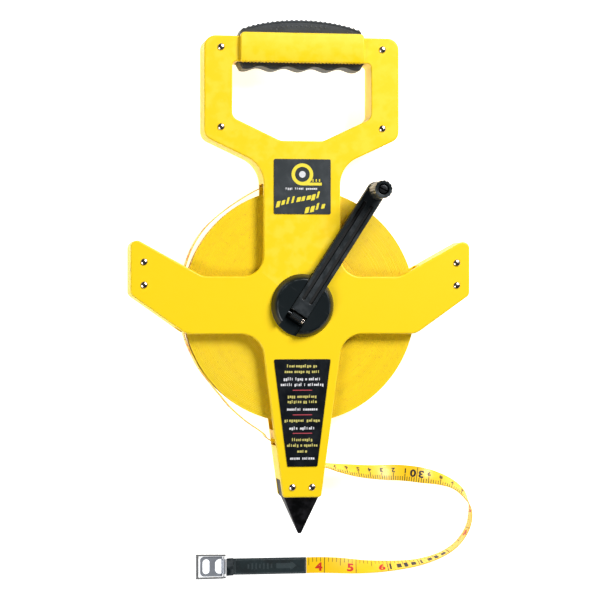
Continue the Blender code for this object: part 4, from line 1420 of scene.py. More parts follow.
@dataclass
class Labels(SubAssembly):
    """The slate label on the neck and the black one down the leg, with their generic print."""

    print_height: float = 2.1
    lean: float = 0.25
    climb: float = 0.2
    seed: int = 7
    thick: float = 0.55
    corner: float = 1.2
    separator_half: float = 7.7
    upper: tuple[Point, Point] = ((22.6, 115.0), (22.6, 71.8))
    lower: tuple[Point, Point] = ((22.6, -42.1), (11.9, -126.4))
    yellow_rows: tuple[tuple[float, float, tuple[int, ...]], ...] = (
        (-47.4, 12.2, (11, 2)), (-51.8, 14.1, (4, 5, 2, 4)), (-71.3, 11.6, (4, 10)),
        (-75.4, 11.7, (7, 2, 4)), (-90.1, 14.2, (9, 6)), (-105.2, 8.3, (10,)),
        (-109.6, 12.2, (6, 1, 7)), (-114.3, 4.1, (4,)),
    )
    white_rows: tuple[tuple[float, float, tuple[int, ...]], ...] = (
        (-57.6, 14.9, (5, 4, 1, 6)), (-62.0, 17.2, (6, 4, 1, 8)), (-81.3, 12.2, (7, 7)),
        (-96.2, 10.4, (4, 7)), (-119.8, 9.8, (5, 6)),
    )
    separators: tuple[float, ...] = (-66.4, -85.7, -100.2)

    def build(self, shells: FrameShells) -> None:
        """Build both films and all print.

        Args:
            shells: The frame's halves, which say where the front face is.
        """
        top = heights("upper_label")[1]
        base = shells.face_of(Side.FRONT) + 0.02
        for node, corners, finish, slot in (
            ("upper_label", self.upper, self.finishes.upper_film, Slot.UPPER_LABEL),
            ("lower_label", self.lower, self.finishes.lower_film, Slot.LOWER_LABEL),
        ):
            rounded = Outline.rounded(Outline.mirrored([(x, y, self.corner) for x, y in corners]))
            film = self.bench.plate(f"{node}_film", rounded, base, top)
            self.bench.round_rim(film, top, 0.15, 2)
            self.bench.hand_over(film, Body.ROOT, finish, slot, [node])
        marks = MarkSet(self.bench, random.Random(self.seed))
        self.lower_print(marks, top)
        self.upper_print(marks, top)
        discard(*marks.models)

    def printed(self, pieces: Sequence[Piece], name: str, top: float, ink: Material,
                slot: Slot) -> None:
        """Join flat marks into one print and lay it on a film."""
        art = self.bench.place(self.bench.join(pieces, name), Matrix.Translation((0, 0, top + 0.01)))
        self.bench.hand_over(art, Body.ROOT, ink, slot, weighted=False)

    def slanted(self, mark: Piece, centre: Point) -> Piece:
        """Slant a mark to the right, and climb with it along its row."""
        (x, y), lean, climb = centre, self.lean, self.climb
        return self.bench.reshape(mark, lambda co: (x + co.x + lean * co.y, y + co.y + climb * co.x, co.z))

    def lower_print(self, marks: MarkSet, top: float) -> None:
        """Print rows of small marks and red rules on the lower label.

        Args:
            marks: The mark set.
            top: The film's surface.
        """
        for rows, name, ink in (
            (self.yellow_rows, "lower_print_yellow", self.finishes.pale_yellow_ink),
            (self.white_rows, "lower_print_white", self.finishes.white_ink),
        ):
            pieces = []
            for y, half, words in rows:
                for mark in marks.row(half, self.print_height, words):
                    pieces.append(self.bench.place(mark, Matrix.Translation((0, y, 0))))
            self.printed(pieces, name, top, ink, Slot.LOWER_LABEL)
        half = self.separator_half
        rules = [
            self.bench.plate("rule", Outline.block(-half, y - 0.35, half, y + 0.35), 0, marks.thick)
            for y in self.separators
        ]
        self.printed(rules, "lower_print_red", top, self.finishes.red_ink, Slot.LOWER_LABEL)

    def upper_print(self, marks: MarkSet, top: float) -> None:
        """Print a reel sign, a line of small marks and two slanted bold rows on the upper label.

        Args:
            marks: The mark set.
            top: The film's surface.
        """
        bench, thick = self.bench, marks.thick
        sign_y, sign_radius = 103.0, 8.6
        ring = bench.plate("sign_ring", Outline.circle(0, sign_y, sign_radius, 72), 0, thick)
        bench.carve(ring, bench.plate("sign_eye", Outline.circle(0, sign_y, sign_radius - 2.7, 64), -1, 1))
        foot = sign_y - sign_radius
        tail = bench.plate("sign_tail", Outline.block(0, foot, 15.5, foot + 2.2), 0, thick)
        bench.carve(ring, tail, Carve.ON)
        ticks = [
            bench.plate("sign_tick", Outline.block(x, foot + 2.9, x + 0.9, foot + 5), 0, thick)
            for x in (8.0, 10.6, 13.2)
        ]
        bold = []
        for centre, half, height, words in (((-2.4, 83.8), 18.0, 4.6, (9,)), ((11.0, 77.4), 8.6, 4.6, (4,))):
            for mark in marks.row(half, height, words):
                bold.append(self.slanted(mark, centre))
        self.printed([ring, *ticks, *bold], "upper_print_yellow", top, self.finishes.yellow_ink,
                     Slot.UPPER_LABEL)
        hub = bench.plate("sign_hub", Outline.circle(0, sign_y, 2.6, 40), 0, thick)
        small = marks.row(12.6, 1.7, (4, 5, 6))
        line = [bench.place(mark, Matrix.Translation((-0.6, 91.9, 0))) for mark in small]
        self.printed([hub, *line], "upper_print_white", top, self.finishes.white_ink, Slot.UPPER_LABEL)


@dataclass
class Reel(SubAssembly):
    """The wound tape, its spool, and the shaft and bearings that it turns on."""

    winding: float = 1.2
    seed: int = 3

    def build(self) -> None:
        """Build the wound tape and dress the pieces whose shape is the frame's."""
        self.wound_tape()
        dark, steel, acetal = self.finishes.black, self.finishes.steel, self.finishes.acetal
        screws = ("hub_cap_screw", "cover_screw_1", "cover_screw_2", "cover_screw_3")
        for finish, slot, nodes in (
            (dark, Slot.BLACK, ("spool_core", "rear_bearing_cover")),
            (steel, Slot.STEEL, ("axle_shaft", "axle_clip", *screws)),
            (acetal, Slot.BUSH, ("front_bush", "rear_bush")),
        ):
            for node in nodes:
                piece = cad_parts[node]
                piece.data.materials.clear()
                piece.data.materials.append(finish)
                LOG.info("%s: dressed", node)

    def wound_tape(self) -> None:
        """Build the windings, whose edges stand a little above and below each other."""
        low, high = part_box("wound_tape")
        bottom, top, outer = low[2] / MM, high[2] / MM, high[0] / MM
        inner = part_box("spool_core")[1][0] / MM + GAP
        draw = random.Random(self.seed)
        count = round((outer - inner) / self.winding)
        pitch = (outer - inner) / count
        upper: list[Point] = []
        lower: list[Point] = []
        for turn in range(count):
            start = inner + turn * pitch
            for edge, level, way in ((upper, top, 1), (lower, bottom, -1)):
                stand = level + way * draw.uniform(-0.28, 0.1)
                edge += [(start + 0.1, stand), (start + pitch - 0.1, stand)]
                if turn < count - 1:
                    edge.append((start + pitch, level - way * 0.55))
        edges = self.finishes.edges
        pack = self.bench.lathe("wound_tape_windings", upper + lower[::-1], 144, ring=True)
        self.bench.hand_over(pack, Body.REEL, edges, Slot.TAPE, ["wound_tape"], 20, False)


@dataclass
class Crank(SubAssembly):
    """The hub cap with its slot, the folding arm, its hinge pin and spring, and the knob."""

    angle: float = radians(57.2)
    pin_x: float = -10.5
    pin_z: float = 38.0
    reach: float = 117.7
    width: float = 14.9
    thick: float = 6.8
    root: float = 3.4
    lug_width: float = 9.0
    lug_radius: float = 2.3
    lug_rib: float = 0.45
    lug_ribs: int = 7
    cap_radius: float = 24.8
    cap_top_radius: float = 20.4
    cap_low: float = 32.3
    cap_top: float = 39.8
    channel: float = 15.7
    channel_floor: float = 34.2
    knob_radius: float = 7.0
    knob_flutes: int = 14
    groove_near: float = 1.9
    groove_far: float = 4.7
    groove_depth: float = 2.6
    groove_start: float = 14.0
    groove_stop: float = 12.0
    across: Matrix = field(default_factory=lambda: Matrix.Rotation(pi / 2, 4, "X"))

    def turned_to_crank(self) -> Matrix:
        """Return the turn from +X to the crank's direction."""
        return Matrix.Rotation(self.angle, 4, "Z")

    def hinge(self) -> Matrix:
        """Return the hinge's frame: its origin on the pin, +X along the arm."""
        return self.turned_to_crank() @ Matrix.Translation((self.pin_x, 0, self.pin_z))

    def build(self) -> None:
        """Build every piece."""
        self.cap()
        self.arm()
        self.pin()
        self.spring()
        self.knob()
        self.screw()

    def cap(self) -> None:
        """Build the conical cap with its channel, lug pocket and screw seat."""
        bench, half = self.bench, self.channel / 2
        profile = [
            (0, 27.9), (9.7, 27.9), (9.7, self.cap_low), (self.cap_radius - 0.3, self.cap_low),
            (self.cap_radius, self.cap_low + 0.3), (self.cap_radius, self.cap_low + 0.8),
            (self.cap_radius - 0.25, self.cap_low + 1.15),
        ]
        cone_foot, cone_head = profile[-1], (self.cap_top_radius + 1.0, self.cap_top - 0.8)
        profile += [
            (
                cone_foot[0] + (cone_head[0] - cone_foot[0]) * share,
                cone_foot[1] + (cone_head[1] - cone_foot[1]) * share + 0.9 * sin(pi * share),
            )
            for share in (0.25, 0.5, 0.75, 1.0)
        ]
        profile += [
            (self.cap_top_radius + 0.55, self.cap_top - 0.3), (self.cap_top_radius - 0.1, self.cap_top),
            (self.cap_top_radius - 0.9, self.cap_top - 0.05), (8.0, self.cap_top - 0.2),
            (0, self.cap_top - 0.22),
        ]
        cap = bench.lathe("hub_cap_moulding", profile, 128)
        for name, outline, floor in (
            ("channel", Outline.block(-40, -half, 40, half), self.channel_floor),
            (
                "pocket", Outline.block(self.pin_x - 4.6, -half + GAP, self.pin_x + 4.6, half - GAP),
                self.cap_low + 0.7,
            ),
        ):
            tool = bench.plate(name, outline, floor, self.cap_top + 5)
            bench.carve(cap, bench.place(tool, self.turned_to_crank()))
        pin_way = bench.rod("pin_way", 1.3, 23.0, self.hinge() @ self.across, 24)
        bench.carve(cap, pin_way)
        for radius, low, high in ((1.9, 20, 33), (3.7, 32.7, 45)):
            bench.carve(cap, bench.plate("screw_seat", Outline.circle(0, 0, radius, 40), low, high))
        bench.carve(cap, bench.plate("socket", Outline.block(-5.3, -5.3, 5.3, 5.3), 20, 30.9))
        bench.hand_over(cap, Body.REEL, self.finishes.black, Slot.BLACK, ["hub_cap"])

    def arm(self) -> None:
        """Build the arm with its two long grooves, its lug and the knob's seat."""
        bench, half = self.bench, self.width / 2
        low, high = -self.thick / 2, self.thick / 2
        start = self.root
        turns = [pi / 2 - pi * stop / 32 for stop in range(33)]
        end = [(self.reach + half * cos(turn), half * sin(turn)) for turn in turns]
        outline = [(start, half), *end, (start, -half)]
        arm = bench.plate("crank_arm_moulding", outline, low, high)
        bench.round_rim(arm, high, 0.7, 3)
        bench.round_rim(arm, low, 0.4, 2)
        groove_start, groove_end = self.groove_start, self.reach - self.groove_stop
        for side in (-1, 1):
            middle = side * (self.groove_near + self.groove_far) / 2
            width = self.groove_far - self.groove_near
            outline = Outline.window(groove_start, groove_end, middle, width / 2, (0.9, 0.9), radians(22.5))
            groove = bench.plate("groove", outline, high - self.groove_depth, high + 2)
            bench.carve(arm, groove)
        rim = self.groove_far + 0.1
        bench.round_inside(arm, high, (groove_start - 0.1, -rim), (groove_end + 0.1, rim), 0.35, 2)
        bench.carve(arm, self.lug(), Carve.ON)
        tongue = bench.plate("tongue", Outline.block(0, -self.lug_width / 2, start + 4, self.lug_width / 2),
                             low + 0.02, low + 3.2)
        bench.carve(arm, tongue, Carve.ON)
        bench.carve(arm, bench.rod("pin_bore", 1.3, 20.0, self.across, 32))
        for radius, foot, head in ((4.2, low - 2, low + 1.8), (2.3, low + 1.7, high + 2)):
            bench.carve(arm, bench.plate("knob_seat", Outline.circle(self.reach, 0, radius, 40), foot, head))
        bench.place(arm, self.hinge())
        bench.hand_over(arm, Body.CRANK, self.finishes.arm_black, Slot.BLACK, ["crank_arm"])

    def lug(self) -> Piece:
        """Build the ribbed barrel that the pin runs through."""
        half, count = self.lug_width / 2, self.lug_ribs
        pitch = self.lug_width / count
        profile: list[Point] = [(0, -half)]
        for rib in range(count):
            start = -half + rib * pitch
            for share in (0.0, 0.25, 0.5, 0.75, 1.0):
                if rib and not share:
                    continue
                profile.append((self.lug_radius + self.lug_rib * sin(pi * share), start + share * pitch))
        profile.append((0, half))
        return self.bench.place(self.bench.lathe("lug", profile, 36), self.across)

    def pin(self) -> None:
        """Build the hinge pin."""
        pin = self.bench.rod("crank_hinge_pin_turned", 1.0, 22.0, self.hinge() @ self.across, 32, 0.25)
        self.bench.hand_over(pin, Body.REEL, self.finishes.blackened, Slot.STEEL, ["crank_hinge_pin"])

    def spring(self) -> None:
        """Wind the small spring that steadies the arm."""
        wire, coil, turns, pitch, start = 0.32, 2.1, 2.0, 1.0, 5.2
        deselect()
        bpy.ops.mesh.primitive_circle_add(vertices=12, radius=wire, fill_type="NOTHING")
        spring = self.bench.named("crank_spring_wire")
        self.bench.place(spring, Matrix.Translation((coil, 0, 0)) @ self.across)
        winding = spring.modifiers.new("winding", "SCREW")
        winding.angle = 2 * pi * turns
        winding.screw_offset = pitch * turns
        winding.steps = 80
        winding.render_steps = 80
        winding.merge_threshold = 0.0001
        bpy.ops.object.modifier_apply(modifier=winding.name)
        with self.bench.editing(spring):
            select_all("DESELECT")
            bpy.ops.mesh.select_non_manifold()
            bpy.ops.mesh.fill()
            select_all()
            bpy.ops.mesh.normals_make_consistent(inside=False)
        self.bench.place(spring, self.hinge() @ Matrix.Translation((0, -start, 0)) @ self.across)
        self.bench.hand_over(spring, Body.REEL, self.finishes.chrome, Slot.STEEL, ["crank_spring"], 60, False)

    def knob(self) -> None:
        """Build the fluted knob with its recessed top and rounded rims."""
        bench = self.bench
        low, high = heights("crank_knob")
        around = 12 * self.knob_flutes
        outline = []
        for stop in range(around):
            turn = 2 * pi * stop / around
            radius = self.knob_radius - 0.5 + 0.5 * abs(cos(self.knob_flutes * turn / 2)) ** 0.7
            outline.append((radius * cos(turn), radius * sin(turn)))
        knob = bench.plate("crank_knob_moulding", outline, low, high)
        bench.round_rim(knob, high, 0.6, 3)
        bench.round_rim(knob, low, 0.4, 2)
        for radius, foot, head in ((4.3, high - 4, high + 2), (2.3, low - 2, high - 3)):
            bench.carve(knob, bench.plate("knob_bore", Outline.circle(0, 0, radius, 56), foot, head))

        def recess_rim(edge: Edge) -> bool:
            """Say whether an edge is on the recess's rim."""
            near = all(abs(vert.co.z - high) < 0.01 and vert.co.xy.length < 4.4 for vert in edge.verts)
            return near and is_sharp(edge)

        bench.bevel(knob, recess_rim, 0.4, 2)
        bench.place(knob, self.knob_place())
        bench.hand_over(knob, Body.KNOB, self.finishes.black, Slot.BLACK, ["crank_knob"], 40)

    def knob_place(self) -> Matrix:
        """Return the knob's axis."""
        return self.turned_to_crank() @ Matrix.Translation((self.pin_x + self.reach, 0, 0))

    def screw(self) -> None:
        """Build the slotted shoulder screw inside the knob."""
        bench = self.bench
        low, high = heights("knob_screw")
        profile = [
            (0, low), (3.4, low), (3.6, low + 0.2), (3.6, low + 1.3), (2.0, low + 1.3),
            (2.0, high - 2.5), (3.5, high - 2.5), (3.5, high - 0.5), (3.3, high - 0.15), (2.9, high),
            (0, high),
        ]
        screw = bench.lathe("knob_screw_turned", profile, 56)
        slot = bench.place(bench.plate("slot", Outline.block(-6, -0.6, 6, 0.6), high - 1.1, high + 2),
                           Matrix.Rotation(radians(98), 4, "Z"))
        bench.carve(screw, slot)
        bench.place(screw, self.knob_place())
        bench.hand_over(screw, Body.CRANK, self.finishes.blackened, Slot.STEEL, ["knob_screw"])


@dataclass
class TapeRun:
    """A stretch of tape: its centre line, the way across it, and how far along the print it lies."""

    points: list[Vector]
    across: list[Vector]
    end_mark: float
    width: float = 12.7
    thick: float = 0.6
    ahead: list[Vector] = field(default_factory=list)
    lengths: list[float] = field(default_factory=list)

    def __post_init__(self) -> None:
        """Measure the centre line."""
        self.lengths = [0.0]
        for first, second in zip(self.points, self.points[1:]):
            self.lengths.append(self.lengths[-1] + (second - first).length)
        last = len(self.points) - 1
        self.ahead = [
            (self.points[min(index + 1, last)] - self.points[max(index - 1, 0)]).normalized()
            for index in range(last + 1)
        ]

    @property
    def length(self) -> float:
        """Return the stretch's length."""
        return self.lengths[-1]

    @property
    def first_mark(self) -> float:
        """Return the print's mark at the stretch's first point."""
        return self.end_mark + self.length

    def point(self, distance: float, aside: float, lift: float) -> Vector:
        """Find a place on the tape.

        Args:
            distance: How far along the centre line it is from the first point.
            aside: How far across the tape it is from the middle.
            lift: How far it stands off the middle plane, towards the metric face.

        Returns:
            The place.
        """
        distance = min(max(distance, 0.0), self.length)
        index = min(bisect_right(self.lengths, distance), len(self.lengths) - 1)
        span = self.lengths[index] - self.lengths[index - 1]
        share = (distance - self.lengths[index - 1]) / span
        centre = self.points[index - 1].lerp(self.points[index], share)
        across = self.across[index - 1].lerp(self.across[index], share).normalized()
        ahead = self.ahead[index - 1].lerp(self.ahead[index], share)
        return centre + across * aside + across.cross(ahead).normalized() * lift


@dataclass
class TapeOutside(SubAssembly):
    """The slack outer turn and the free tape, with both printed scales."""

    width: float = 12.7
    thick: float = 0.6
    low: float = 9.8
    pack_radius: float = 92.8
    leader_mark: float = 87.0
    ink_lift: float = 0.05
    inch: float = 25.4
    blocks_from: int = 6
    blocks_to: int = 8
    turn_stand_off: tuple[Point, ...] = (
        (74, 0.5), (90, 2.6), (108, 4.7), (140, 3.7), (165, 2.7), (190, 1.5), (208, 0.7), (221, 0.5)
    )
    run_to_leg: tuple[Point, ...] = (
        (-62.4, -71.6), (-54.0, -81.2), (-43.0, -90.8), (-29.6, -100.2), (-21.7, -107.2), (18.4, -126.1)
    )
    route: tuple[tuple[float, float, float, float], ...] = (
        (19.2, -126.4, 15.7, -10), (33.6, -129.4, 14.4, -28), (48.8, -131.8, 12.0, -45),
        (63.2, -133.2, 9.4, -57), (82.8, -134.0, 6.6, -84), (97.0, -135.6, 5.4, -83),
        (114.4, -138.9, 5.8, -48), (127.3, -143.9, 6.5, -31), (135.6, -151.0, 6.8, -25),
        (140.4, -159.5, 6.8, -10), (141.6, -167.0, 6.8, -1), (140.2, -176.5, 6.8, 1),
        (135.5, -185.8, 6.8, 3), (127.1, -194.6, 6.8, 6), (114.7, -201.4, 6.8, 9),
        (98.5, -206.1, 6.6, 16), (82.9, -208.1, 6.2, 26), (69.0, -208.9, 5.5, 37),
        (57.0, -209.1, 4.7, 46), (46.0, -208.7, 3.7, 58), (33.0, -207.9, 2.2, 74),
        (19.0, -207.4, 1.2, 86), (8.5, -207.4, 1.1, 90),
    )
    glyphs: dict[str, Piece] = field(default_factory=dict)

    @staticmethod
    def smooth_through(points: Sequence[Vector], per_span: int) -> list[Vector]:
        """Lead a smooth curve through points.

        Args:
            points: The points, of any dimension.
            per_span: How many points each span gets.

        Returns:
            The curve's points.
        """
        padded = [2 * points[0] - points[1], *points, 2 * points[-1] - points[-2]]
        curve = []
        for a, b, c, d in zip(padded, padded[1:], padded[2:], padded[3:]):
            for stop in range(per_span):
                t = stop / per_span
                bend, twist = 2 * a - 5 * b + 4 * c - d, 3 * b - a - 3 * c + d
                curve.append(0.5 * (2 * b + (c - a) * t + bend * (t * t) + twist * t ** 3))
        return curve + [points[-1]]

    def free_run(self) -> TapeRun:
        """Return the stretch from the leg to the leader, which twists over."""
        curve = self.smooth_through([Vector(point) for point in self.route], 14)
        centres = [point.to_3d() for point in curve]
        last = len(centres) - 1
        across = []
        for index, point in enumerate(curve):
            ahead = (centres[min(index + 1, last)] - centres[max(index - 1, 0)]).normalized()
            left = Vector((0, 0, 1)).cross(ahead).normalized()
            bank = radians(point[3])
            across.append(ahead.cross(left) * cos(bank) + left * sin(bank))
        return TapeRun(centres, across, self.leader_mark, self.width, self.thick)

    def loose_run(self, leg_mark: float) -> TapeRun:
        """Return the slack turn that leaves the reel and runs to the leg.

        Args:
            leg_mark: The print's mark where the free tape starts.

        Returns:
            The stretch.
        """
        line = []
        for turn, stand_off in self.turn_stand_off:
            radius = self.pack_radius + stand_off + self.thick / 2
            line.append(Vector((radius * cos(radians(turn)), radius * sin(radians(turn)))))
        line += [Vector(point) for point in self.run_to_leg]
        centres = [Vector((*point, self.low + self.width / 2)) for point in self.smooth_through(line, 18)]
        return TapeRun(centres, [Vector((0, 0, 1))] * len(centres), leg_mark, self.width, self.thick)

    def build(self) -> tuple[Piece, TapeRun, list[Piece]]:
        """Build both stretches and their print.

        Returns:
            The free tape, its run and the print on it.
        """
        free = self.free_run()
        loose = self.loose_run(free.first_mark + 1.0)
        strip = self.strip(free, "free_tape_film", "free_tape")
        self.strip(loose, "loose_turn_film", "loose_turn")
        free_print = self.print_run(free, "free")
        self.print_run(loose, "turn")
        discard(*self.glyphs.values())
        return strip, free, free_print

    def strip(self, run: TapeRun, name: str, node: str) -> Piece:
        """Lay a flat grid along a run and give it the tape's thickness.

        Args:
            run: The run.
            name: The piece's name.
            node: The CAD node that it stands for.

        Returns:
            The tape.
        """
        deselect()
        bpy.ops.mesh.primitive_grid_add(x_subdivisions=len(run.points), y_subdivisions=4, size=2)
        tape = self.bench.named(name)
        self.bench.reshape(tape, lambda co: run.point((co.x + 1) / 2 * run.length, co.y * run.width / 2, 0.0))
        body = tape.modifiers.new("body", "SOLIDIFY")
        body.thickness = run.thick
        body.offset = 0.0
        bpy.ops.object.modifier_apply(modifier=body.name)
        finish = TapeFilm(f"{name}_skin", run.length * MM, run.width * MM).make()
        return self.bench.hand_over(tape, Body.ROOT, finish, Slot.TAPE, [node], 40)

    def tick_row(self, run: TapeRun, pitch: float, every: int, depth: float, width: float,
                 skip: int = 0) -> list[Piece]:
        """Lay one row of ticks along the tape's upper edge, as its print reads.

        Args:
            run: The run.
            pitch: The scale's division.
            every: Which divisions have these ticks.
            depth: The ticks' length.
            width: Their width.
            skip: Divisions whose number this divides have longer ticks already.

        Returns:
            The flat ticks.
        """
        edge = run.width / 2 - 0.12
        step = pitch * every
        first = ceil((run.end_mark + width) / step)
        last = int((run.first_mark - width) / step)
        marks = [number * every for number in range(first, last + 1)]
        if skip:
            marks = [mark for mark in marks if mark % skip]
        if not marks:
            return []
        model = self.flat("tick", Outline.block(-width / 2, edge - depth, width / 2, edge))
        ticks = [self.bench.copy(model, "tick", Matrix.Translation((mark * pitch, 0, 0))) for mark in marks]
        discard(model)
        return ticks

    def flat(self, name: str, outline: Sequence[Point]) -> Piece:
        """Make a flat four-sided mark that faces up."""
        deselect()
        bpy.ops.mesh.primitive_plane_add(size=1)
        mark = self.bench.named(name)
        (low_x, low_y), (high_x, high_y) = outline[0], outline[2]
        middle = Matrix.Translation(((low_x + high_x) / 2, (low_y + high_y) / 2, 0))
        self.bench.place(mark, middle @ Matrix.Diagonal((high_x - low_x, high_y - low_y, 1.0, 1.0)))
        cuts = int((high_y - low_y) / 4)
        if cuts:
            with self.bench.editing(mark):
                bpy.ops.mesh.subdivide(number_cuts=cuts)
        return mark

    def numeral(self, text: str, centre: Point, size: Point, weight: float) -> Piece:
        """Set a number as a flat mark.

        Args:
            text: The number.
            centre: Where its middle goes.
            size: How much wider than usual it is, and its height.
            weight: How much its strokes are thickened.

        Returns:
            The flat number.
        """
        if text not in self.glyphs:
            deselect()
            bpy.ops.object.text_add()
            sign = bpy.context.object
            sign.data.body = text
            sign.data.offset = weight
            sign.data.resolution_u = 3
            bpy.ops.object.convert(target="MESH")
            glyph = self.bench.named(f"number_{text}")
            xs = [vert.co.x for vert in glyph.data.vertices]
            ys = [vert.co.y for vert in glyph.data.vertices]
            height = max(ys) - min(ys)
            middle = Matrix.Translation((-(max(xs) + min(xs)) / 2, -(max(ys) + min(ys)) / 2, 0))
            self.bench.place(glyph, Matrix.Diagonal((1 / height, 1 / height, 1.0, 1.0)) @ middle)
            with self.bench.editing(glyph):
                bpy.ops.mesh.remove_doubles(threshold=0.0001)
                for share in range(-4, 5):
                    select_all()
                    bpy.ops.mesh.bisect(plane_co=(share / 10, 0, 0), plane_no=(1, 0, 0))
            self.glyphs[text] = glyph
        place = Matrix.Translation((*centre, 0)) @ Matrix.Diagonal((size[0] * size[1], size[1], 1.0, 1.0))
        return self.bench.copy(self.glyphs[text], "number", place)

    def print_run(self, run: TapeRun, name: str) -> list[Piece]:
        """Print the metric scale on one face of a run and the inch scale on the other.

        Args:
            run: The run.
            name: What the print's pieces are named after.

        Returns:
            The print's pieces.
        """
        metric = self.metric_art(run)
        inch_lines, inch_numbers = self.inch_art(run)
        return [
            self.wrap(metric, f"{name}_metric_print", run, TapeFace.METRIC, self.finishes.tape_black),
            self.wrap(inch_lines, f"{name}_inch_lines", run, TapeFace.IMPERIAL, self.finishes.tape_black),
            self.wrap(inch_numbers, f"{name}_inch_numbers", run, TapeFace.IMPERIAL, self.finishes.tape_red),
        ]

    def metric_art(self, run: TapeRun) -> list[Piece]:
        """Draw the even millimetres, centimetres and decimetres of a run, flat."""
        art = self.tick_row(run, 1.0, 2, 3.6, 0.6, 10)
        art += self.tick_row(run, 1.0, 10, 5.8, 0.64, 100)
        art += self.tick_row(run, 1.0, 100, 12.3, 0.5)
        for mark in range(ceil(run.end_mark / 10 + 0.4), int(run.first_mark / 10 - 0.4) + 1):
            if mark % 10:
                art.append(self.numeral(str(mark % 10), (mark * 10.0, -1.9), (1.15, 3.8), 0.04))
            else:
                for digit, aside in zip(f"{mark:2d}", (-3.4, 3.4)):
                    if digit != " ":
                        art.append(self.numeral(digit, (mark * 10.0 + aside, -0.6), (1.25, 6.2), 0.04))
        return art

    def inch_art(self, run: TapeRun) -> tuple[list[Piece], list[Piece]]:
        """Draw the inches and eighths of a run, flat.

        Args:
            run: The run.

        Returns:
            The lines, and the numbers.
        """
        eighth = self.inch / 8
        lines = self.tick_row(run, eighth, 1, 3.6, 0.36, 4)
        lines += self.tick_row(run, eighth, 4, 6.4, 0.4, 8)
        lines += self.tick_row(run, eighth, 8, 12.3, 0.5)
        numbers = []
        for inches in range(ceil((run.end_mark + 7) / self.inch), int(run.first_mark / self.inch) + 1):
            digits = str(inches)
            if self.blocks_from < inches <= self.blocks_to:
                lines += self.block_words(inches)
            else:
                middle = inches * self.inch - 1.3 - 3.3 * len(digits)
                numbers.append(self.numeral(digits, (middle, -1.3), (1.25, 6.8), 0.06))
        return lines, numbers

    def block_words(self, inches: int) -> list[Piece]:
        """Draw four plain black blocks, which stand for words, before an inch line.

        Args:
            inches: The inch line's number.

        Returns:
            The flat blocks.
        """
        blocks = []
        for index, (width, tall) in enumerate(((1.4, 7.2), (3.6, 5.4), (3.0, 6.6), (3.8, 5.2))):
            start = (inches - 1) * self.inch + 1.6 + 5.9 * index
            outline = Outline.block(start, -1.2 - tall / 2, start + width, -1.2 + tall / 2)
            blocks.append(self.flat("block", outline))
        return blocks

    def wrap(self, art: list[Piece], name: str, run: TapeRun, face: TapeFace,
             ink: Material) -> Piece:
        """Bend flat art onto one face of a run.

        Args:
            art: The flat marks, with the mark along X and the way up along Y.
            name: The print's name.
            run: The run.
            face: The face that it goes on.
            ink: Its ink.

        Returns:
            The print.
        """
        made = self.bench.join(art, name)
        lift = face.value * (run.thick / 2 + self.ink_lift)
        self.bench.reshape(made, lambda co: run.point(run.first_mark - co.x, co.y * face.value, lift))
        return self.bench.hand_over(made, Body.ROOT, ink, Slot.TAPE, smooth=60, weighted=False, solid=False)


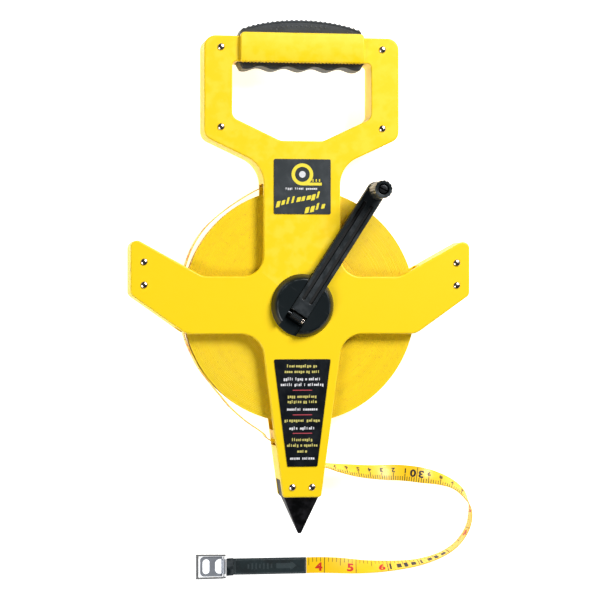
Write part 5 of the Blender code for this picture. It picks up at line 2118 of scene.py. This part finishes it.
@dataclass
class LeaderAndHook(SubAssembly):
    """The vinyl sleeve on the tape's end, the collar, and the steel plate with its folding frame."""

    middle: float = -207.4
    right: float = 8.2
    left: float = -50.2
    collar_left: float = -56.0
    pin_x: float = -58.2
    pin_z: float = 2.3
    hook_left: float = -80.6
    hook_aside: float = 0.4
    plate_half: float = 7.8

    def build(self) -> list[Piece]:
        """Build every piece."""
        return [self.sleeve(), *self.embossing(), self.collar(), self.plate(), self.pin(), self.frame_bail()]

    def pin_turn(self) -> Matrix:
        """Return where the pin's middle is, with its axis along Y."""
        place = Matrix.Translation((self.pin_x, self.middle + self.hook_aside, self.pin_z))
        return place @ Matrix.Rotation(pi / 2, 4, "X")

    def sleeve(self) -> Piece:
        """Build the sleeve, with a pressed line inside its rounded edge."""
        low, high = heights("leader_sleeve")
        half = 6.5
        block = Outline.block(self.left - 0.2, self.middle - half, self.right, self.middle + half)
        sleeve = self.bench.plate("leader_sleeve_vinyl", block, low, high)
        with self.bench.editing(sleeve, Pick.FACE):
            self.bench.choose(sleeve, Pick.FACE, lambda face: face.normal.z > 0.99)
            bpy.ops.mesh.inset(thickness=1.0, depth=0.0)
            bpy.ops.mesh.inset(thickness=0.22, depth=-0.2)
            bpy.ops.mesh.inset(thickness=0.22, depth=0.2)
        self.bench.bevel(sleeve, lambda edge: is_sharp(edge, 80), 0.45, 3)
        return self.bench.hand_over(sleeve, Body.ROOT, self.finishes.vinyl, Slot.LEADER, ["leader_sleeve"])

    def embossing(self) -> list[Piece]:
        """Raise an arrow that points along the tape and a row of short bars behind it."""
        top = heights("leader_sleeve")[1]
        foot, tip, waist = -16.0, 0.4, -4.6
        arrow = [
            (foot, self.middle + 2.1), (foot, self.middle - 2.1), (waist, self.middle - 2.1),
            (waist, self.middle - 3.5), (tip, self.middle), (waist, self.middle + 3.5),
            (waist, self.middle + 2.1),
        ]
        raised = [self.bench.plate("arrow", arrow, top - 0.2, top + 0.16)]
        for index in range(7):
            x = -20.5 - 3.1 * index
            tall = 2.4 if index % 3 else 1.7
            bar = Outline.block(x, self.middle - tall, x + 1.3, self.middle + tall)
            raised.append(self.bench.plate("bar", bar, top - 0.2, top + 0.12))
        made = self.bench.join(raised, "leader_embossing")
        self.bench.bevel(made, lambda edge: all(vert.co.z > top for vert in edge.verts), 0.1, 2)
        return [self.bench.hand_over(made, Body.ROOT, self.finishes.vinyl, Slot.LEADER)]

    def collar(self) -> Piece:
        """Build the black collar that grips the sleeve's end."""
        low, high = heights("leader_collar")
        right = self.left - GAP
        outline = [
            (self.collar_left, self.middle + 6.6), (self.collar_left, self.middle - 7.2),
            (right, self.middle - 6.9), (right, self.middle + 6.9),
        ]
        collar = self.bench.plate("leader_collar_moulding", outline, low, high)
        self.bench.bevel(collar, is_sharp, 0.35, 3)
        return self.bench.hand_over(collar, Body.ROOT, self.finishes.black, Slot.BLACK, ["leader_collar"])

    def plate(self) -> Piece:
        """Build the steel plate with its oval slot, D window and rolled knuckle."""
        bench = self.bench
        middle, right = self.middle + self.hook_aside, self.pin_x - 1.0
        low = heights("hook_plate")[0]
        outline = Outline.window(self.hook_left + 3.6, right, middle, self.plate_half, (3.0, 0.8))
        plate = bench.plate("hook_plate_pressing", outline, low, low + 1.0)
        slot_x, window_x = self.hook_left + 8.3, self.pin_x - 1.9
        for window in (
            Outline.window(slot_x - 2.7, slot_x + 2.7, middle, 5.8, (2.6, 2.6)),
            Outline.window(window_x - 4.9, window_x, middle, 5.8, (3.6, 0.4)),
        ):
            bench.carve(plate, bench.plate("window_tool", window, -1, 5))
        bench.carve(plate, bench.rod("knuckle", 1.5, 12.0, self.pin_turn(), 40, 0.3), Carve.ON)
        bench.carve(plate, bench.rod("knuckle_bore", 0.85, 30.0, self.pin_turn(), 24))
        bench.round_rim(plate, low + 1.0, 0.16, 2)
        return bench.hand_over(plate, Body.ROOT, self.finishes.dark_steel, Slot.DARK_STEEL, ["hook_plate"])

    def pin(self) -> Piece:
        """Build the hook's pin."""
        pin = self.bench.rod("hook_pin_turned", 0.55, 18.6, self.pin_turn(), 24, 0.15)
        return self.bench.hand_over(pin, Body.ROOT, self.finishes.steel, Slot.STEEL, ["hook_pin"])

    def frame_bail(self) -> Piece:
        """Build the bright frame that folds over on the pin."""
        bench, middle, wire = self.bench, self.middle + self.hook_aside, 1.5
        low, high = heights("hook_bail")
        outer = [(self.hook_left, 9.9), (self.pin_x - 4.5, 9.7), (self.pin_x + 1.6, 9.5)]
        inner = [(self.pin_x + 1.6, 8.1), (self.pin_x - 4.5, 8.2), (self.hook_left + wire + 0.6, 8.4)]
        half = outer + inner
        outline = [(x, middle + y) for x, y in half] + [(x, middle - y) for x, y in reversed(half)]
        bail = bench.plate("hook_bail_pressing", outline, low, high)
        bench.bevel(bail, is_sharp, 0.3, 3)
        bench.carve(bail, bench.rod("bail_bore", 0.6, 30.0, self.pin_turn(), 24))
        return bench.hand_over(bail, Body.HOOK, self.finishes.steel, Slot.STEEL, ["hook_bail"])


@dataclass
class Studio:
    """The pale floor, the soft lights and the camera."""

    camera_place: tuple[float, float, float] = (-0.287, 0.0, 1.755)
    camera_aim: tuple[float, float, float] = (-0.0018, 0.0044, 0.032)
    lens: float = 133.5
    floor_half: float = 6.0

    def camera(self) -> None:
        """Put the camera above the reel, a little to its left."""
        data = bpy.data.cameras.new("camera")
        data.lens = self.lens
        data.sensor_width = 36.0
        data.dof.use_dof = False
        made = bpy.data.objects.new("camera", data)
        bpy.context.scene.collection.objects.link(made)
        place = Vector(self.camera_place)
        back = (place - Vector(self.camera_aim)).normalized()
        right = Vector((0, 1, 0)).cross(back).normalized()
        turn = Matrix((right, back.cross(right), back)).transposed().to_4x4()
        made.matrix_world = Matrix.Translation(place) @ turn
        bpy.context.scene.camera = made

    def light(self, name: str, place: tuple[float, float, float], size: float, power: float) -> None:
        """Hang one soft light that shines on the reel.

        Args:
            name: The light's name.
            place: Where it hangs.
            size: Its width.
            power: Its power in watts.
        """
        data = bpy.data.lights.new(name, "AREA")
        data.shape = "DISK"
        data.size = size
        data.energy = power
        made = bpy.data.objects.new(name, data)
        bpy.context.scene.collection.objects.link(made)
        made.location = place
        made.rotation_euler = (-Vector(place)).to_track_quat("-Z", "Y").to_euler()

    def floor(self) -> None:
        """Lay the white floor."""
        deselect()
        bpy.ops.mesh.primitive_plane_add(size=2 * self.floor_half, location=(0, 0, -0.0003))
        made = bpy.context.object
        made.name = "floor"
        graph = Graph("studio_floor")
        made.data.materials.append(
            graph.finish(
                Base_Color=srgb(238, 238, 238), Roughness=0.9, Emission_Color=srgb(255, 255, 255),
                Emission_Strength=0.85,
            )
        )

    def build(self) -> None:
        """Set the whole studio up."""
        self.floor()
        self.light("key", (1.0, 1.1, 1.35), 0.9, 48.0)
        self.light("fill", (-1.2, -0.8, 1.2), 0.8, 17.0)
        world = bpy.data.worlds.new("studio_air")
        world.use_nodes = True
        tree = world.node_tree
        sky = tree.nodes.new("ShaderNodeTexCoord")
        split = tree.nodes.new("ShaderNodeSeparateXYZ")
        fall = tree.nodes.new("ShaderNodeMapRange")
        fall.inputs["From Max"].default_value = 0.75
        fall.inputs["To Min"].default_value = 0.95
        fall.inputs["To Max"].default_value = 0.08
        tree.links.new(sky.outputs["Generated"], split.inputs[0])
        tree.links.new(split.outputs["Z"], fall.inputs["Value"])
        tree.links.new(fall.outputs[0], tree.nodes["Background"].inputs["Strength"])
        bpy.context.scene.world = world
        bpy.context.scene.view_settings.view_transform = "Standard"


def declare_cord(strip: Piece, run: TapeRun, with_pieces: list[Piece]) -> None:
    """Args:
        strip: The free tape; not used.
        run: Its run.
        with_pieces: The print, the leader and the hook; not used.
    """
    path = [tuple(point * MM) for point in run.points[::4]] + [tuple(run.points[-1] * MM)]
    tuple(run.points[0] * MM)
    run.width * MM


def main() -> None:
    """Build the tape reel's looks, piece by piece."""
    logging.basicConfig(level=logging.INFO, format="%(name)s %(message)s")
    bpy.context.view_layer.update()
    studio = Studio()
    studio.camera()
    bench, finishes = Bench(), Finishes()
    strip, run, tape_print = TapeOutside(bench, finishes).build()
    tape_end = LeaderAndHook(bench, finishes).build()
    declare_cord(strip, run, tape_print + tape_end)
    shells = FrameShells(bench, finishes)
    shells.build()
    HandleGrip(bench, finishes).build()
    GroundSpike(bench, finishes).build()
    Rivets(bench, finishes).build(shells)
    Labels(bench, finishes).build(shells)
    Reel(bench, finishes).build()
    Crank(bench, finishes).build()
    studio.build()


if __name__ == "__main__":
    main()
